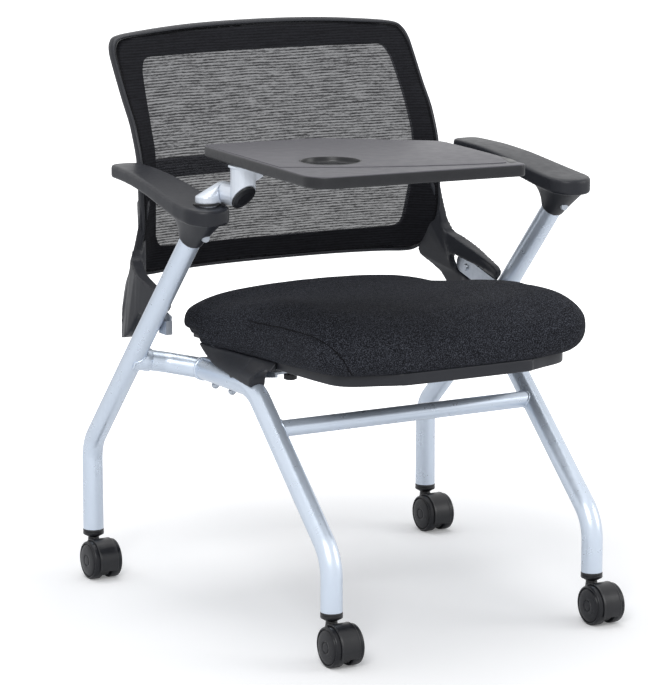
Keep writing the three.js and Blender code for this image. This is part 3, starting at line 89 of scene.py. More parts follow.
def spline(points, steps, closed=True):
    """Points on a smooth curve through the given points of any dimension."""
    count = len(points)
    out = []
    for i in range(count if closed else count - 1):
        near = [points[k % count if closed else clamp(k, 0, count - 1)] for k in range(i - 1, i + 3)]
        for t in (step / steps for step in range(steps)):
            out.append([
                0.5 * (2 * b + (c - a) * t + (2 * a - 5 * b + 4 * c - d) * t**2 + (3 * b - a - 3 * c + d) * t**3)
                for a, b, c, d in zip(*near)
            ])
    if not closed:
        out.append(list(points[-1]))
    return out


# Making meshes


def place(name, data):
    """A new object in the scene."""
    obj = bpy.data.objects.new(name, data)
    bpy.context.scene.collection.objects.link(obj)
    return obj


def outward_mesh(name, verts, faces, weld):
    """A mesh whose faces all look outwards; weld joins points that lie on each other."""
    mesh = bpy.data.meshes.new(name)
    mesh.from_pydata([tuple(v) for v in verts], [], [tuple(f) for f in faces])
    bm = bmesh.new()
    bm.from_mesh(mesh)
    if weld:
        bmesh.ops.remove_doubles(bm, verts=bm.verts, dist=1e-6)
    bmesh.ops.recalc_face_normals(bm, faces=bm.faces)
    bm.to_mesh(mesh)
    bm.free()
    return mesh


def shade(obj, sharp=None):
    """Shades an object smooth, with the edges above an angle sharp."""
    for polygon in obj.data.polygons:
        polygon.use_smooth = True
    if sharp is not None:
        obj.data.set_sharp_from_angle(angle=math.radians(sharp))
    return obj


def make(name, verts, faces, material, body, slot, sharp=40, replaces=()):
    """A new smooth-shaded piece of the chair on a body."""
    mesh = outward_mesh(name, verts, faces, True)
    mesh.materials.append(material)
    obj = shade(place(name, mesh), sharp)
    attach(obj, body)
    if replaces:
        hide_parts(*replaces)
    return obj


def apply_modifiers(obj):
    """Puts the result of an object's modifiers into its mesh."""
    graph = bpy.context.evaluated_depsgraph_get()
    result = bpy.data.meshes.new_from_object(obj.evaluated_get(graph))
    old = obj.data
    obj.modifiers.clear()
    obj.data = result
    bpy.data.meshes.remove(old)


def modify(obj, kind, **settings):
    """Puts the result of a modifier into an object's mesh."""
    mod = obj.modifiers.new(kind, kind)
    for key, value in settings.items():
        setattr(mod, key, value)
    apply_modifiers(obj)


def remesh(obj, voxel):
    modify(obj, "REMESH", mode="VOXEL", voxel_size=voxel * MM)


def relax(obj, rounds):
    modify(obj, "SMOOTH", factor=0.5, iterations=rounds)


def cut(obj, *shells):
    """Takes closed shells out of an object."""
    for verts, faces in shells:
        mesh = outward_mesh("cutter", verts, faces, False)
        tool = place("cutter", mesh)
        modify(obj, "BOOLEAN", operation="DIFFERENCE", solver="EXACT", object=tool)
        bpy.data.objects.remove(tool)
        bpy.data.meshes.remove(mesh)


def soften(obj, voxel, rounds=4, shells=(), sharp=None):
    """Makes a solid one skin, takes shells out of it and rounds its edges a little."""
    remesh(obj, voxel)
    cut(obj, *shells)
    relax(obj, rounds)
    shade(obj, sharp)


def quarter(steps):
    """What sine and cosine lack to 1 over a quarter turn."""
    turns = [math.pi / 2 * i / steps for i in range(steps + 1)]
    return [(1 - math.sin(turn), 1 - math.cos(turn)) for turn in turns]


def joined_mesh(parts):
    """Vertices and faces of several shells put in one list."""
    verts = []
    faces = []
    for part_verts, part_faces in parts:
        start = len(verts)
        verts.extend(part_verts)
        faces.extend([[i + start for i in face] for face in part_faces])
    return verts, faces


def skin(rings, closed_ends=True, returning=False):
    """A shell through rings with equal numbers of points; an end ring of one point closes to it."""
    verts = []
    starts = []
    for ring in rings:
        starts.append(len(verts))
        verts.extend(ring)
    faces = []
    rows = len(rings) if returning else len(rings) - 1
    for row in range(rows):
        after = (row + 1) % len(rings)
        near, far = rings[row], rings[after]
        count = max(len(near), len(far))
        for i in range(count):
            k = (i + 1) % count
            if len(near) == 1:
                faces.append([starts[row], starts[after] + k, starts[after] + i])
            elif len(far) == 1:
                faces.append([starts[row] + i, starts[row] + k, starts[after]])
            else:
                faces.append([starts[row] + i, starts[row] + k, starts[after] + k, starts[after] + i])
    if closed_ends and not returning:
        if len(rings[0]) > 1:
            faces.append(list(range(len(rings[0])))[::-1])
        if len(rings[-1]) > 1:
            faces.append([starts[-1] + i for i in range(len(rings[-1]))])
    return verts, faces


def bent(points, bends, steps=14):
    """A path with round bends at its inner points."""
    out = [points[0]]
    for i in range(1, len(points) - 1):
        incoming = (points[i] - points[i - 1]).normalized()
        outgoing = (points[i + 1] - points[i]).normalized()
        angle = incoming.angle(outgoing)
        radius = bends[i - 1] * MM
        start = points[i] - incoming * radius * math.tan(angle / 2)
        axis = incoming.cross(outgoing).normalized()
        middle = start + axis.cross(incoming) * radius
        for step in range(steps + 1):
            turn = Matrix.Rotation(angle * step / steps, 3, axis)
            out.append(middle + turn @ (start - middle))
    out.append(points[-1])
    return out


def frames_along(points, closed=False):
    """Tangent and two side directions at each point of a path, without twist."""
    count = len(points)
    tangents = []
    for i in range(count):
        before = points[i - 1] if closed or i else points[0]
        after = points[(i + 1) % count] if closed or i < count - 1 else points[-1]
        tangents.append((after - before).normalized())
    side = tangents[0].orthogonal().normalized()
    out = []
    for tangent in tangents:
        side = (side - tangent * side.dot(tangent)).normalized()
        out.append((tangent, side, tangent.cross(side)))
    return out


def circle(centre, side, other, radius, count):
    """Points round a centre; the radius is in millimetres."""
    turns = [2 * math.pi * i / count for i in range(count)]
    return [centre + (side * math.cos(turn) + other * math.sin(turn)) * radius * MM for turn in turns]


def tube(points, radii, sides=40, closed=False):
    """A round bar along a path; radii is one length or one for each point, in millimetres."""
    if not isinstance(radii, (list, tuple)):
        radii = [radii] * len(points)
    rings = []
    for point, (_, side, other), radius in zip(points, frames_along(points, closed), radii):
        rings.append(circle(point, side, other, radius, sides))
    return skin(rings, not closed, closed)


def lathe(profile, origin, axis, sides=48, ring=False):
    """A turned shell from rows of radius and distance along an axis; a ring's profile returns to its start."""
    axis = Vector(axis).normalized()
    side = axis.orthogonal().normalized()
    other = axis.cross(side)
    rings = []
    for radius, height in profile:
        centre = origin + axis * height * MM
        rings.append(circle(centre, side, other, radius, sides) if radius > 0 else [centre])
    return skin(rings, not ring, ring)


def rounded(corners, steps=6):
    """An outline with each corner rounded: rows of across, along and radius."""
    out = []
    count = len(corners)
    for i, (x, y, radius) in enumerate(corners):
        corner = Vector((x, y))
        back = (Vector(corners[i - 1][:2]) - corner).normalized()
        on = (Vector(corners[(i + 1) % count][:2]) - corner).normalized()
        if not radius:
            out.append((x, y))
            continue
        half = math.acos(clamp(back.dot(on), -1, 1)) / 2
        middle = corner + (back + on).normalized() * radius / math.sin(half)
        start = corner + back * radius / math.tan(half) - middle
        end = corner + on * radius / math.tan(half) - middle
        turn = math.atan2(start.x * end.y - start.y * end.x, start.dot(end))
        for step in range(steps + 1):
            angle = turn * step / steps
            c, s = math.cos(angle), math.sin(angle)
            out.append((middle.x + start.x * c - start.y * s, middle.y + start.x * s + start.y * c))
    return out


# Node materials


class Tree:
    """A short way to write a node tree: an input takes a value or another node's output."""

    def __init__(self, tree):
        self.tree = tree
        self.tree.nodes.clear()

    def fill(self, socket, value):
        if isinstance(value, bpy.types.NodeSocket):
            self.tree.links.new(value, socket)
        elif socket.type == "RGBA":
            socket.default_value = (*value, 1)
        else:
            socket.default_value = value

    def add(self, kind, inputs=(), **settings):
        node = self.tree.nodes.new(kind)
        for key, value in settings.items():
            setattr(node, key, value)
        for key, value in dict(inputs).items():
            self.fill(node.inputs[key], value)
        return node

    def math(self, operation, a, b=0.5, clamped=False):
        return self.add("ShaderNodeMath", {0: a, 1: b}, operation=operation, use_clamp=clamped).outputs[0]

    def weighted(self, *parts):
        """The sum of outputs times their weights."""
        terms = [self.math("MULTIPLY", value, weight) for value, weight in parts]
        total = terms[0]
        for term in terms[1:]:
            total = self.math("ADD", total, term)
        return total


class Nodes(Tree):
    """The nodes of a new material."""

    def __init__(self, name):
        self.material = bpy.data.materials.new(name)
        self.material.use_nodes = True
        super().__init__(self.material.node_tree)
        self.shader = self.add("ShaderNodeBsdfPrincipled")
        self.out = self.add("ShaderNodeOutputMaterial", {0: self.shader.outputs[0]})
        self.place = self.add("ShaderNodeTexCoord").outputs["Object"]

    def set(self, **values):
        for key, value in values.items():
            self.fill(self.shader.inputs[key.replace("_", " ")], value)

    def mapped(self, place=None, **values):
        return self.add("ShaderNodeMapping", {**values, "Vector": place or self.place}).outputs[0]

    def noise(self, scale, detail=2, rough=0.5, place=None):
        inputs = {"Scale": scale, "Detail": detail, "Roughness": rough, "Vector": place or self.place}
        return self.add("ShaderNodeTexNoise", inputs).outputs["Fac"]

    def cells(self, scale, place=None, randomness=1.0):
        inputs = {"Scale": scale, "Randomness": randomness, "Vector": place or self.place}
        return self.add("ShaderNodeTexVoronoi", inputs).outputs["Distance"]

    def span(self, value, low, high, to_low=0.0, to_high=1.0):
        inputs = {"Value": value, "From Min": low, "From Max": high, "To Min": to_low, "To Max": to_high}
        return self.add("ShaderNodeMapRange", inputs, interpolation_type="SMOOTHSTEP").outputs["Result"]

    def mix(self, share, a, b):
        return self.add("ShaderNodeMix", {"Factor": share, 6: a, 7: b}, data_type="RGBA").outputs[2]

    def bump(self, height, distance, strength=1.0, under=None):
        inputs = {"Distance": distance * MM, "Strength": strength, "Height": height}
        if under is not None:
            inputs["Normal"] = under
        normal = self.add("ShaderNodeBump", inputs).outputs[0]
        self.set(Normal=normal)
        return normal


# Materials: colours are linear; noise and cell scales are counts in a metre
LOW, HIGH = 0.3, 0.7


def plain(name, settings, tone, dark, light, rough, grain):
    """A material of three noises: tone is scale and detail; rough and grain end in a span and in a height."""
    n = Nodes(name)
    n.set(Base_Color=n.mix(n.noise(*tone), dark, light), **settings)
    n.set(Roughness=n.span(n.noise(*rough[:2]), LOW, HIGH, *rough[2:]))
    n.bump(n.noise(*grain[:2]), *grain[2:])
    return n.material


def zinc():
    n = Nodes("zinc_steel")
    brushed = n.noise(200, 3, place=n.mapped(Scale=(1, 1, 0.1)))
    n.set(Metallic=0.75, Base_Color=n.mix(n.cells(120), (0.42, 0.46, 0.52), (0.5, 0.54, 0.6)),
          Roughness=n.span(brushed, LOW, HIGH, 0.28, 0.42))
    n.bump(n.noise(700, 2), 0.03, 0.2)
    return n.material


def knit():
    """Black knitted cloth with loops on the slant and fine light specks."""
    n = Nodes("seat_fabric")
    turned = n.mapped(Rotation=(0.5, 0.6, 0.785))
    loops = n.span(n.cells(760, n.mapped(turned, Scale=(1, 0.7, 1)), 0.35), 0.12, 0.55)
    specks = n.span(n.noise(800, 2), 0.48, 0.64)
    base = n.mix(loops, (0.03, 0.032, 0.042), (0.0025, 0.0027, 0.0036))
    base = n.mix(n.math("MULTIPLY", specks, 0.6), base, (0.12, 0.128, 0.155))
    base = n.mix(n.math("MULTIPLY", n.noise(14, 3), 0.3), base, (0.004, 0.004, 0.0055))
    n.set(Specular_IOR_Level=0.08, Base_Color=base, Roughness=n.span(n.noise(200, 2), LOW, HIGH, 0.72, 0.9))
    n.bump(n.math("SUBTRACT", 1.0, loops), 0.5, 0.6, n.bump(n.noise(60, 3), 0.25, 0.4))
    return n.material


RIB_PITCH = 4.2


def netting(name, open_share):
    """Mesh fabric with fine horizontal ribs; open_share says how much light its holes let through."""
    n = Nodes(name)
    height = n.add("ShaderNodeSeparateXYZ", {0: n.place}).outputs["Z"]
    turn = n.weighted((height, 2 * math.pi / (RIB_PITCH * MM)), (n.noise(9, 2), 9.0))
    ribs = n.math("ADD", n.math("MULTIPLY", n.math("SINE", turn), 0.5), 0.5)
    streaks = n.noise(1, 2, place=n.mapped(Scale=(34, 34, 520)))
    broken = n.noise(1, 2, place=n.mapped(Scale=(160, 160, 760)))
    speck = n.noise(900, 2, 0.6)
    light = n.weighted((ribs, 0.14), (streaks, 0.34), (broken, 0.3), (speck, 0.24))
    grid = n.span(light, 0.41, 0.61)
    if open_share:
        holes = n.math("MULTIPLY", n.math("ADD", n.math("MULTIPLY", grid, 0.85), 0.1), open_share)
        n.set(Base_Color=n.mix(grid, (0.008, 0.008, 0.010), (0.04, 0.041, 0.047)),
              Alpha=n.math("SUBTRACT", 1.0, holes, True))
    else:
        n.set(Base_Color=n.mix(grid, (0.0035, 0.0035, 0.005), (0.011, 0.0115, 0.0145)))
    n.set(Specular_IOR_Level=0.12, Roughness=n.span(speck, LOW, HIGH, 0.65, 0.88))
    n.bump(light, 0.6, 0.7)
    return n.material


def board():
    n = Nodes("plywood")
    grain = n.noise(1, 5, 0.6, n.mapped(Scale=(8, 160, 160)))
    n.set(Base_Color=n.mix(grain, (0.3, 0.19, 0.09), (0.48, 0.34, 0.18)), Roughness=n.span(grain, LOW, HIGH, 0.6, 0.8))
    n.bump(grain, 0.2, 0.4)
    return n.material


PAINT = plain("tube_paint", {"Metallic": 0.55, "Coat_Weight": 0.3, "Coat_Roughness": 0.15}, (18, 3),
              (0.64, 0.72, 0.83), (0.69, 0.77, 0.88), (60, 4, 0.27, 0.34), (500, 1, 0.02, 0.06))
CASTING = plain("cast_metal", {"Metallic": 0.3, "Coat_Weight": 0.2, "Coat_Roughness": 0.2}, (25, 3),
                (0.66, 0.71, 0.79), (0.74, 0.79, 0.86), (90, 4, 0.3, 0.42), (900, 3, 0.08, 0.3))
ZINC = zinc()
MOULDING = plain("frame_plastic", {"Specular_IOR_Level": 0.3}, (35, 3), (0.0165, 0.0178, 0.0225),
                 (0.0215, 0.023, 0.0285), (80, 4, 0.33, 0.4), (700, 1, 0.04, 0.15))
TRIM = plain("trim_plastic", {"Specular_IOR_Level": 0.45}, (40, 3), (0.0085, 0.009, 0.011), (0.013, 0.0135, 0.0165),
             (120, 4, 0.28, 0.38), (900, 1, 0.03, 0.15))
RUBBER = plain("soft_rubber", {"Specular_IOR_Level": 0.3}, (60, 4), (0.0085, 0.009, 0.0115), (0.0125, 0.0132, 0.0165),
               (90, 4, 0.27, 0.36), (900, 1, 0.03, 0.15))
LAMINATE = plain("tablet_laminate", {"Specular_IOR_Level": 0.38}, (30, 3), (0.062, 0.06, 0.0725),
                 (0.071, 0.069, 0.0815), (60, 4, 0.38, 0.44), (900, 1, 0.03, 0.12))
# A cord darker than the cloth, on a real seam: its darkness is painted shade laid along the seam's groove.
SEAM_SHADE_CORD = plain("seam_shade_cord", {"Specular_IOR_Level": 0.15}, (900, 2), (0.002, 0.002, 0.003), (0.006, 0.006, 0.008),
               (300, 2, 0.8, 0.95), (1500, 2, 0.2, 0.5))
KNIT = knit()
NETTING = netting("mesh_fabric", 0.185)
BORDER = netting("border_fabric", 0)
BOARD = board()

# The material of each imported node, by the start of its name
KEPT = [
    (ZINC, ("hinge_bracket", "bracket_bolt", "back_plate", "seat_hinge_arm", "tilt_bolt", "caster_stem", "arm_screw")),
    (CASTING, ("lower_elbow", "upper_elbow")),
    (MOULDING, ("armrest", "back_frame", "seat_pan")),
    (TRIM, ("lumbar_bar", "elbow_base_cap", "elbow_cap", "tablet_plate", "caster_plug", "caster_hood")),
    (LAMINATE, ("tablet_surface",)),
    (KNIT, ("seat_cushion",)),
    (NETTING, ("back_mesh",)),
    (BOARD, ("seat_board",)),
    (RUBBER, ("seat_bumper", "wheel")),
    (PAINT, ("front_leg", "front_crossbar", "rear_leg", "side_stub")),
]
for node_name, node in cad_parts.items():
    node.data.materials.clear()
    node.data.materials.append(next(material for material, starts in KEPT if node_name.startswith(starts)))
    for face in node.data.polygons:
        face.material_index = 0
    shade(node, 32)

# Legs: the bends of their tubes' middle lines
TUBE = 16
TUBE_SIDES = 44
TUBE_CLEAR = 0.4
FRONT_SPAN = 224.5
REAR_SPAN = 306.2
FOOT_REACH = 305
FOOT = {
    "front_left": (FRONT_SPAN, -FOOT_REACH),
    "front_right": (-FRONT_SPAN, -FOOT_REACH),
    "rear_left": (REAR_SPAN, FOOT_REACH),
    "rear_right": (-REAR_SPAN, FOOT_REACH),
}
LEG_START = 74
FRONT_RADII = [70, 70]
REAR_RADII = [60, 900]
STUB_RADII = [22, 40]
FRONT_BENDS = [(-FOOT_REACH, LEG_START), (-FOOT_REACH, 151.8), (-78, 360), (81, 360)]
REAR_BENDS = [(REAR_SPAN, FOOT_REACH, LEG_START), (REAR_SPAN, FOOT_REACH, 210.6), (316.2, 137, 377)]
REAR_TOP = (314.6, -47.6, 579.5)
REAR_REST = 22
STUB_LEAD = 7
STUB_RUN = (40, 36, 7)
# The stub's collar and sleeve: radius and distance along it
COLLAR = [(16, -1), (17.6, -0.6), (18, 0.2), (18, 2.6), (17, 3.2), (17, 4.2), (18, 4.8), (18, 7.4), (17.4, 8.2),
          (16, 8.6)]
SLEEVE = [(16, -27), (17.3, -26.4), (17.8, -25.4), (17.8, -16), (17.8, 0)]
CROSSBAR = 12.5
CROSSBAR_SPOT = (-135.3, 307.5)


def front_path(side):
    return bent([P(side * FRONT_SPAN, y, z) for y, z in FRONT_BENDS], FRONT_RADII, 20)


def rear_points(side):
    points = [P(side * x, y, z) for x, y, z in REAR_BENDS]
    top = P(side * REAR_TOP[0], *REAR_TOP[1:])
    return points + [top + (top - points[-1]).normalized() * REAR_REST * MM]


def rear_path(side):
    return bent(rear_points(side), REAR_RADII, 20)


def nearest_gap(point, path):
    """Distance from a point to a path."""
    best = 1e9
    for a, b in zip(path, path[1:]):
        way = b - a
        length = way.length_squared
        t = clamp((point - a).dot(way) / length, 0, 1) if length else 0
        best = min(best, (point - a - way * t).length)
    return best


def weld_bead(path, radius, other, other_radius, bead=1.5, count=40):
    """A bead round the line where a tube meets another; path runs towards the other tube."""
    search = 60 * MM
    end = path[-1]
    way = (end - path[-2]).normalized()
    start = end - way * search
    side = way.orthogonal().normalized()
    up = way.cross(side)
    loop = []
    for arm in circle(Vector(), side, up, radius, count):
        low, high = 0.0, search
        for _ in range(24):
            middle = (low + high) / 2
            if nearest_gap(start + way * middle + arm, other) > other_radius * MM:
                low = middle
            else:
                high = middle
        loop.append(start + way * low + arm)
    wobble = [bead * (1 + 0.22 * math.sin(5 * 2 * math.pi * i / count) * math.cos(3.1 * i)) for i in range(count)]
    return tube(loop, wobble, 10, True)


def make_leg_tube(name, parts, node):
    make(name, *joined_mesh(parts), PAINT, "frame", "tube_paint", 50, [node])


def make_legs():
    for side, word in SIDES:
        make_leg_tube("leg_tube_front_" + word, [tube(front_path(side), TUBE, TUBE_SIDES)], "front_leg_" + word)
        rear = rear_path(side)
        make_leg_tube("leg_tube_rear_" + word, [tube(rear, TUBE, TUBE_SIDES)], "rear_leg_" + word)
        start = P(side * FRONT_SPAN, *FRONT_BENDS[-1])
        lead = start + Vector((0, STUB_LEAD, 0)) * MM
        middle = lead + Vector((side * STUB_RUN[0], *STUB_RUN[1:])) * MM
        end = rear_points(side)[2]
        sleeve = SLEEVE[-1][0]
        make_leg_tube("stub_tube_" + word, [
            tube(bent([start, lead, middle, end], STUB_RADII, 10), TUBE, TUBE_SIDES),
            lathe(COLLAR, start, (0, 1, 0), TUBE_SIDES),
            lathe(SLEEVE, end, (end - middle).normalized(), TUBE_SIDES),
            weld_bead([middle, end], sleeve, rear, TUBE, 1.8),
        ], "side_stub_" + word)
    left, right = [P(side * FRONT_SPAN, *CROSSBAR_SPOT) for side, _ in SIDES]
    make_leg_tube("crossbar_tube", [
        tube([right, right.lerp(left, 0.3), right.lerp(left, 0.7), left], CROSSBAR),
        weld_bead([left, right], CROSSBAR, front_path(-1), TUBE),
        weld_bead([right, left], CROSSBAR, front_path(1), TUBE),
    ], "front_crossbar")


make_legs()

# Back: heights and depths as shares of the frame's size
BACK_LOW = 484
BACK_HIGH = 375
BACK_NEAR = 197
BACK_DEEP = 125
BACK_HALF = 268
WINDOW_HALF = 231
WINDOW_BEND = 222
WINDOW_MIDDLE = BACK_LOW + 0.49 * BACK_HIGH
FABRIC_RISE = 1.6
EDGE_DEPTH = [(0, 0.4), (0.096, 0.14), (0.219, 0), (0.32, 0.02), (0.45, 0.045), (0.605, 0.21), (0.715, 0.44),
              (0.952, 0.904), (1, 1)]
WINDOW_DEPTH = [(0, 0.424), (0.104, 0.36), (0.309, 0.256), (0.485, 0.224), (0.605, 0.344), (0.715, 0.496),
                (0.877, 0.76), (1, 1)]
CENTRE_DEPTH = [(0, 0.52), (0.104, 0.472), (0.309, 0.376), (0.485, 0.36), (0.605, 0.464), (0.715, 0.6),
                (0.877, 0.84), (1, 1.05)]
# Each row: outer width, outer height, inner width, inner height
RING = [
    (0, 0, 0, 0.104), (0.41, -0.001, 0.455, 0.104), (0.71, -0.006, 0.78, 0.104), (0.866, -0.012, 0.896, 0.107),
    (0.94, -0.005, 0.935, 0.115), (0.985, 0.021, 0.957, 0.131), (1, 0.075, 0.968, 0.163), (1, 0.23, 0.987, 0.283),
    (1, 0.39, 1, 0.416), (1, 0.55, 1, 0.563), (1, 0.71, 0.989, 0.696), (1, 0.843, 0.972, 0.803),
    (0.996, 0.901, 0.959, 0.837), (0.974, 0.941, 0.935, 0.864), (0.922, 0.964, 0.896, 0.876),
    (0.746, 0.979, 0.78, 0.877), (0.41, 0.995, 0.455, 0.88), (0, 1, 0, 0.88),
]


def back_reach(width, height):
    share = (height - BACK_LOW) / BACK_HIGH
    span = abs(width)
    inner = lerp(read_row(CENTRE_DEPTH, share), read_row(WINDOW_DEPTH, share), min(1, (span / WINDOW_BEND) ** 2))
    return BACK_NEAR + BACK_DEEP * lerp(inner, read_row(EDGE_DEPTH, share), smooth(span, WINDOW_BEND, BACK_HALF))


def back_stations():
    """Outer and inner points round the back, close together."""
    half = [(a * BACK_HALF, BACK_LOW + b * BACK_HIGH, c * WINDOW_HALF, BACK_LOW + d * BACK_HIGH) for a, b, c, d in RING]
    loop = half + [(-a, b, -c, d) for a, b, c, d in reversed(half[1:-1])]
    return spline(loop, 5)


STATIONS = back_stations()


def back_point(station, share, depth):
    """A point across the border: share 0 at the window and 1 at the outline; depth in millimetres."""
    outer_x, outer_z, inner_x, inner_z = station
    x = lerp(inner_x, outer_x, share)
    z = lerp(inner_z, outer_z, share)
    return P(x, back_reach(x, z) + depth, z)


def rim_point(station, inset, depth):
    """A point a length inside the outline."""
    outer_x, outer_z, inner_x, inner_z = station
    return back_point(station, 1 - inset / math.hypot(outer_x - inner_x, outer_z - inner_z), depth)


# The rim's section: inset from the outline and depth, then share across the border and depth
RIM_EDGE = [(8.4, 2.4), (7.6, 3.4), (6.4, 3.2), (5.9, 1.2), (5.2, 0), (4, -0.6), (2.6, -0.4), (1.3, 0.8), (0.5, 2.4),
            (0, 4.8), (0, 8.4), (0, 11.4), (0.7, 13.7), (2.1, 15.3), (4.2, 16), (8, 15.6)]
RIM_REAR = [(0.55, 12.8), (0.3, 11.2), (0.1, 9.8), (0.03, 8.9), (0, 7.4), (0, 5), (0.02, 3.6), (0.06, 2.6), (0.4, 2.4)]
# Shares of the window and then of the border at which the fabric has rows
WINDOW_ROWS = (0.08, 0.2, 0.34, 0.48, 0.62, 0.76, 0.88, 0.96, 1.0)
BORDER_ROWS = (0.03, 0.1, 0.3, 0.5, 0.7, 0.85)
# The fabric's edge in the groove: inset and depth
FABRIC_EDGE = [(9.4, 0.3), (8.6, 0.5), (8, 1.2), (7.4, 2.4)]
PIPING = 0.8
PIPING_SPOT = (7.1, 1.6)


def make_back_rim():
    """The moulded frame: a rounded rim round a flat that carries the fabric."""
    rings = []
    for station in STATIONS:
        edge = [rim_point(station, *row) for row in RIM_EDGE]
        rings.append(edge + [back_point(station, *row) for row in RIM_REAR])
    return make("back_rim", *skin(rings, False, True), MOULDING, "frame", "frame_plastic", 60, ["back_frame"])


def window_share(x, z):
    """Below 1 inside the window: the spot's distance from the middle over the window's in that direction."""
    def turn(station):
        away = math.atan2(z - WINDOW_MIDDLE, x) - math.atan2(station[3] - WINDOW_MIDDLE, station[2])
        return abs(math.atan2(math.sin(away), math.cos(away)))

    nearest = min(STATIONS, key=turn)
    return math.hypot(x, z - WINDOW_MIDDLE) / math.hypot(nearest[2], nearest[3] - WINDOW_MIDDLE)


def make_back_fabric():
    """The mesh stretched over the whole front, open in the window and closed over the border."""
    rows = [[P(0, back_reach(0, WINDOW_MIDDLE) + FABRIC_RISE, WINDOW_MIDDLE)]]
    for share in WINDOW_ROWS:
        row = []
        for _, _, inner_x, inner_z in STATIONS:
            x = inner_x * share
            z = WINDOW_MIDDLE + (inner_z - WINDOW_MIDDLE) * share
            row.append(P(x, back_reach(x, z) + FABRIC_RISE - 1.2 * smooth(share, 0.94, 1), z))
        rows.append(row)
    for share in BORDER_ROWS:
        rows.append([back_point(station, share, 0.3) for station in STATIONS])
    for inset, depth in FABRIC_EDGE:
        rows.append([rim_point(station, inset, depth) for station in STATIONS])
    obj = make("back_fabric", *skin(rows, False), NETTING, "frame", "mesh_fabric", 180, ["back_mesh"])
    obj.data.materials.append(BORDER)
    for polygon in obj.data.polygons:
        spot = polygon.center
        polygon.material_index = 0 if window_share(spot.x / MM, spot.z / MM) < 1 else 1


def make_back_piping():
    """The cord that holds the fabric in the rim's groove."""
    path = [rim_point(station, *PIPING_SPOT) for station in STATIONS]
    make("back_piping", *tube(path, PIPING, 8, True), TRIM, "frame", "trim_plastic")


make_back_rim()
make_back_fabric()
make_back_piping()

# Wings: reach, height, inner and outer shares of the wing's sizes
WING = [
    (0.75, 1, 0, 0.29), (0.725, 0.766, 0.2, 0.44), (0.71, 0.602, 0.36, 0.656), (0.6, 0.547, 0.475, 0.787),
    (0.47, 0.498, 0.557, 0.869), (0.27, 0.438, 0.59, 0.836), (0.035, 0.353, 0.623, 0.777),
    (0.125, 0.239, 0.623, 0.777), (0.165, 0.174, 0.623, 0.795), (0.33, 0.174, 0.607, 0.885),
    (0.425, 0.219, 0.59, 0.918), (0.55, 0.06, 0.656, 0.984), (0.65, 0, 0.689, 1), (0.75, 0.005, 0.705, 0.869),
    (0.765, 0.104, 0.672, 0.844), (0.8, 0.204, 0.56, 0.762), (0.9, 0.303, 0.34, 0.541), (0.975, 0.378, 0.12, 0.352),
    (0.93, 0.502, 0.02, 0.262), (0.87, 0.652, 0, 0.2), (0.84, 0.801, 0, 0.23), (0.84, 1, 0, 0.25),
]
WING_LOW = (250, 55, 399)
WING_SIZE = (61, 200, 201)
# The back plate's middle line and half its width, and the room round it in the wing
PLATE_START = (62, 437)
PLATE_END = (172, 466)
PLATE_HALF = 14
PLATE_CLEAR = 2.2
ROOM_INNER = 240
ROOM_OUTER = 294
WING_WALL = 2.8
FOOT_ROOM = [(55, 420), (86, 420), (86, 446), (55, 446)]
FOOT_OUTER = 302


def side_slab(outline, low, high):
    """A shell between two levels across the chair from an outline of reach and height."""
    return skin([[P(x, a, b) for a, b in outline] for x in (low, high)])


def plate_outline(grow):
    start, end = Vector(PLATE_START), Vector(PLATE_END)
    way = (end - start).normalized()
    side = Vector((-way.y, way.x))
    half = PLATE_HALF + grow
    out = [start - way * grow + side * half, start - way * grow - side * half]
    for step in range(17):
        turn = math.pi * (step / 16 - 0.5)
        out.append(end + way * math.cos(turn) * half + side * math.sin(turn) * half)
    return out


def plate_room(wing, side):
    """The recess for the back plate; on the sitter's right the wing's outer wall closes it."""
    outline = plate_outline(PLATE_CLEAR)
    if side > 0:
        return side_slab(outline, ROOM_INNER, ROOM_OUTER)
    tree = BVHTree.FromObject(wing, bpy.context.evaluated_depsgraph_get())
    far = []
    for a, b in outline:
        spot = P(side * ROOM_OUTER, a, b)
        hit = tree.ray_cast(P(side * 400, a, b), Vector((-side, 0, 0)))[0]
        if hit is not None and abs(hit.x) - WING_WALL * MM < abs(spot.x):
            spot.x = hit.x - side * WING_WALL * MM
        far.append(spot)
    return skin([[P(side * ROOM_INNER, a, b) for a, b in outline], far])


def make_wings():
    x0, y0, z0 = WING_LOW
    width, depth, height = WING_SIZE
    for side, word in SIDES:
        rim = spline(WING, 3)
        inner = [P(side * (x0 + width * i), y0 + depth * r, z0 + height * h) for r, h, i, _ in rim]
        outer = [P(side * (x0 + width * o), y0 + depth * r, z0 + height * h) for r, h, _, o in rim]
        obj = make("back_wing_" + word, *skin([inner, outer]), MOULDING, "frame", "frame_plastic", 180)
        foot = side_slab(FOOT_ROOM, side * ROOM_INNER, side * FOOT_OUTER)
        cut(obj, plate_room(obj, side), foot, tube(rear_path(side), TUBE + TUBE_CLEAR, 32))
        soften(obj, 1.7, 7)


make_wings()

# Cushion and pan
SEAT_HALF = 235
SEAT_FRONT = 320
SEAT_REAR = 186
SEAT_LENGTH = SEAT_FRONT + SEAT_REAR
SEAT_SHARES = [
    (0.35, 0), (0.6, 0.004), (0.72, 0.009), (0.83, 0.02), (0.92, 0.048), (0.98, 0.09), (1, 0.14), (1, 0.28),
    (1, 0.42), (1, 0.56), (1, 0.7), (1, 0.78), (1, 0.858), (0.977, 0.912), (0.91, 0.958), (0.811, 0.989),
    (0.694, 1), (0.35, 1),
]
PAN_EDGE = 5
PAN_SHARES = [
    (0.38, 0.004), (0.5, 0.014), (0.617, 0.036), (0.72, 0.054), (0.8, 0.075), (0.85, 0.11), (0.872, 0.171),
    (0.9, 0.28), (0.928, 0.42), (0.955, 0.56), (0.985, 0.7), *SEAT_SHARES[-7:],
]


# The pan's upper edge at the front, and its fall to the rear
RIM_HIGH = 409
RIM_FALL = 12
# Behind this reach the hinge arms need room beside the pan
NARROW_FROM = 46


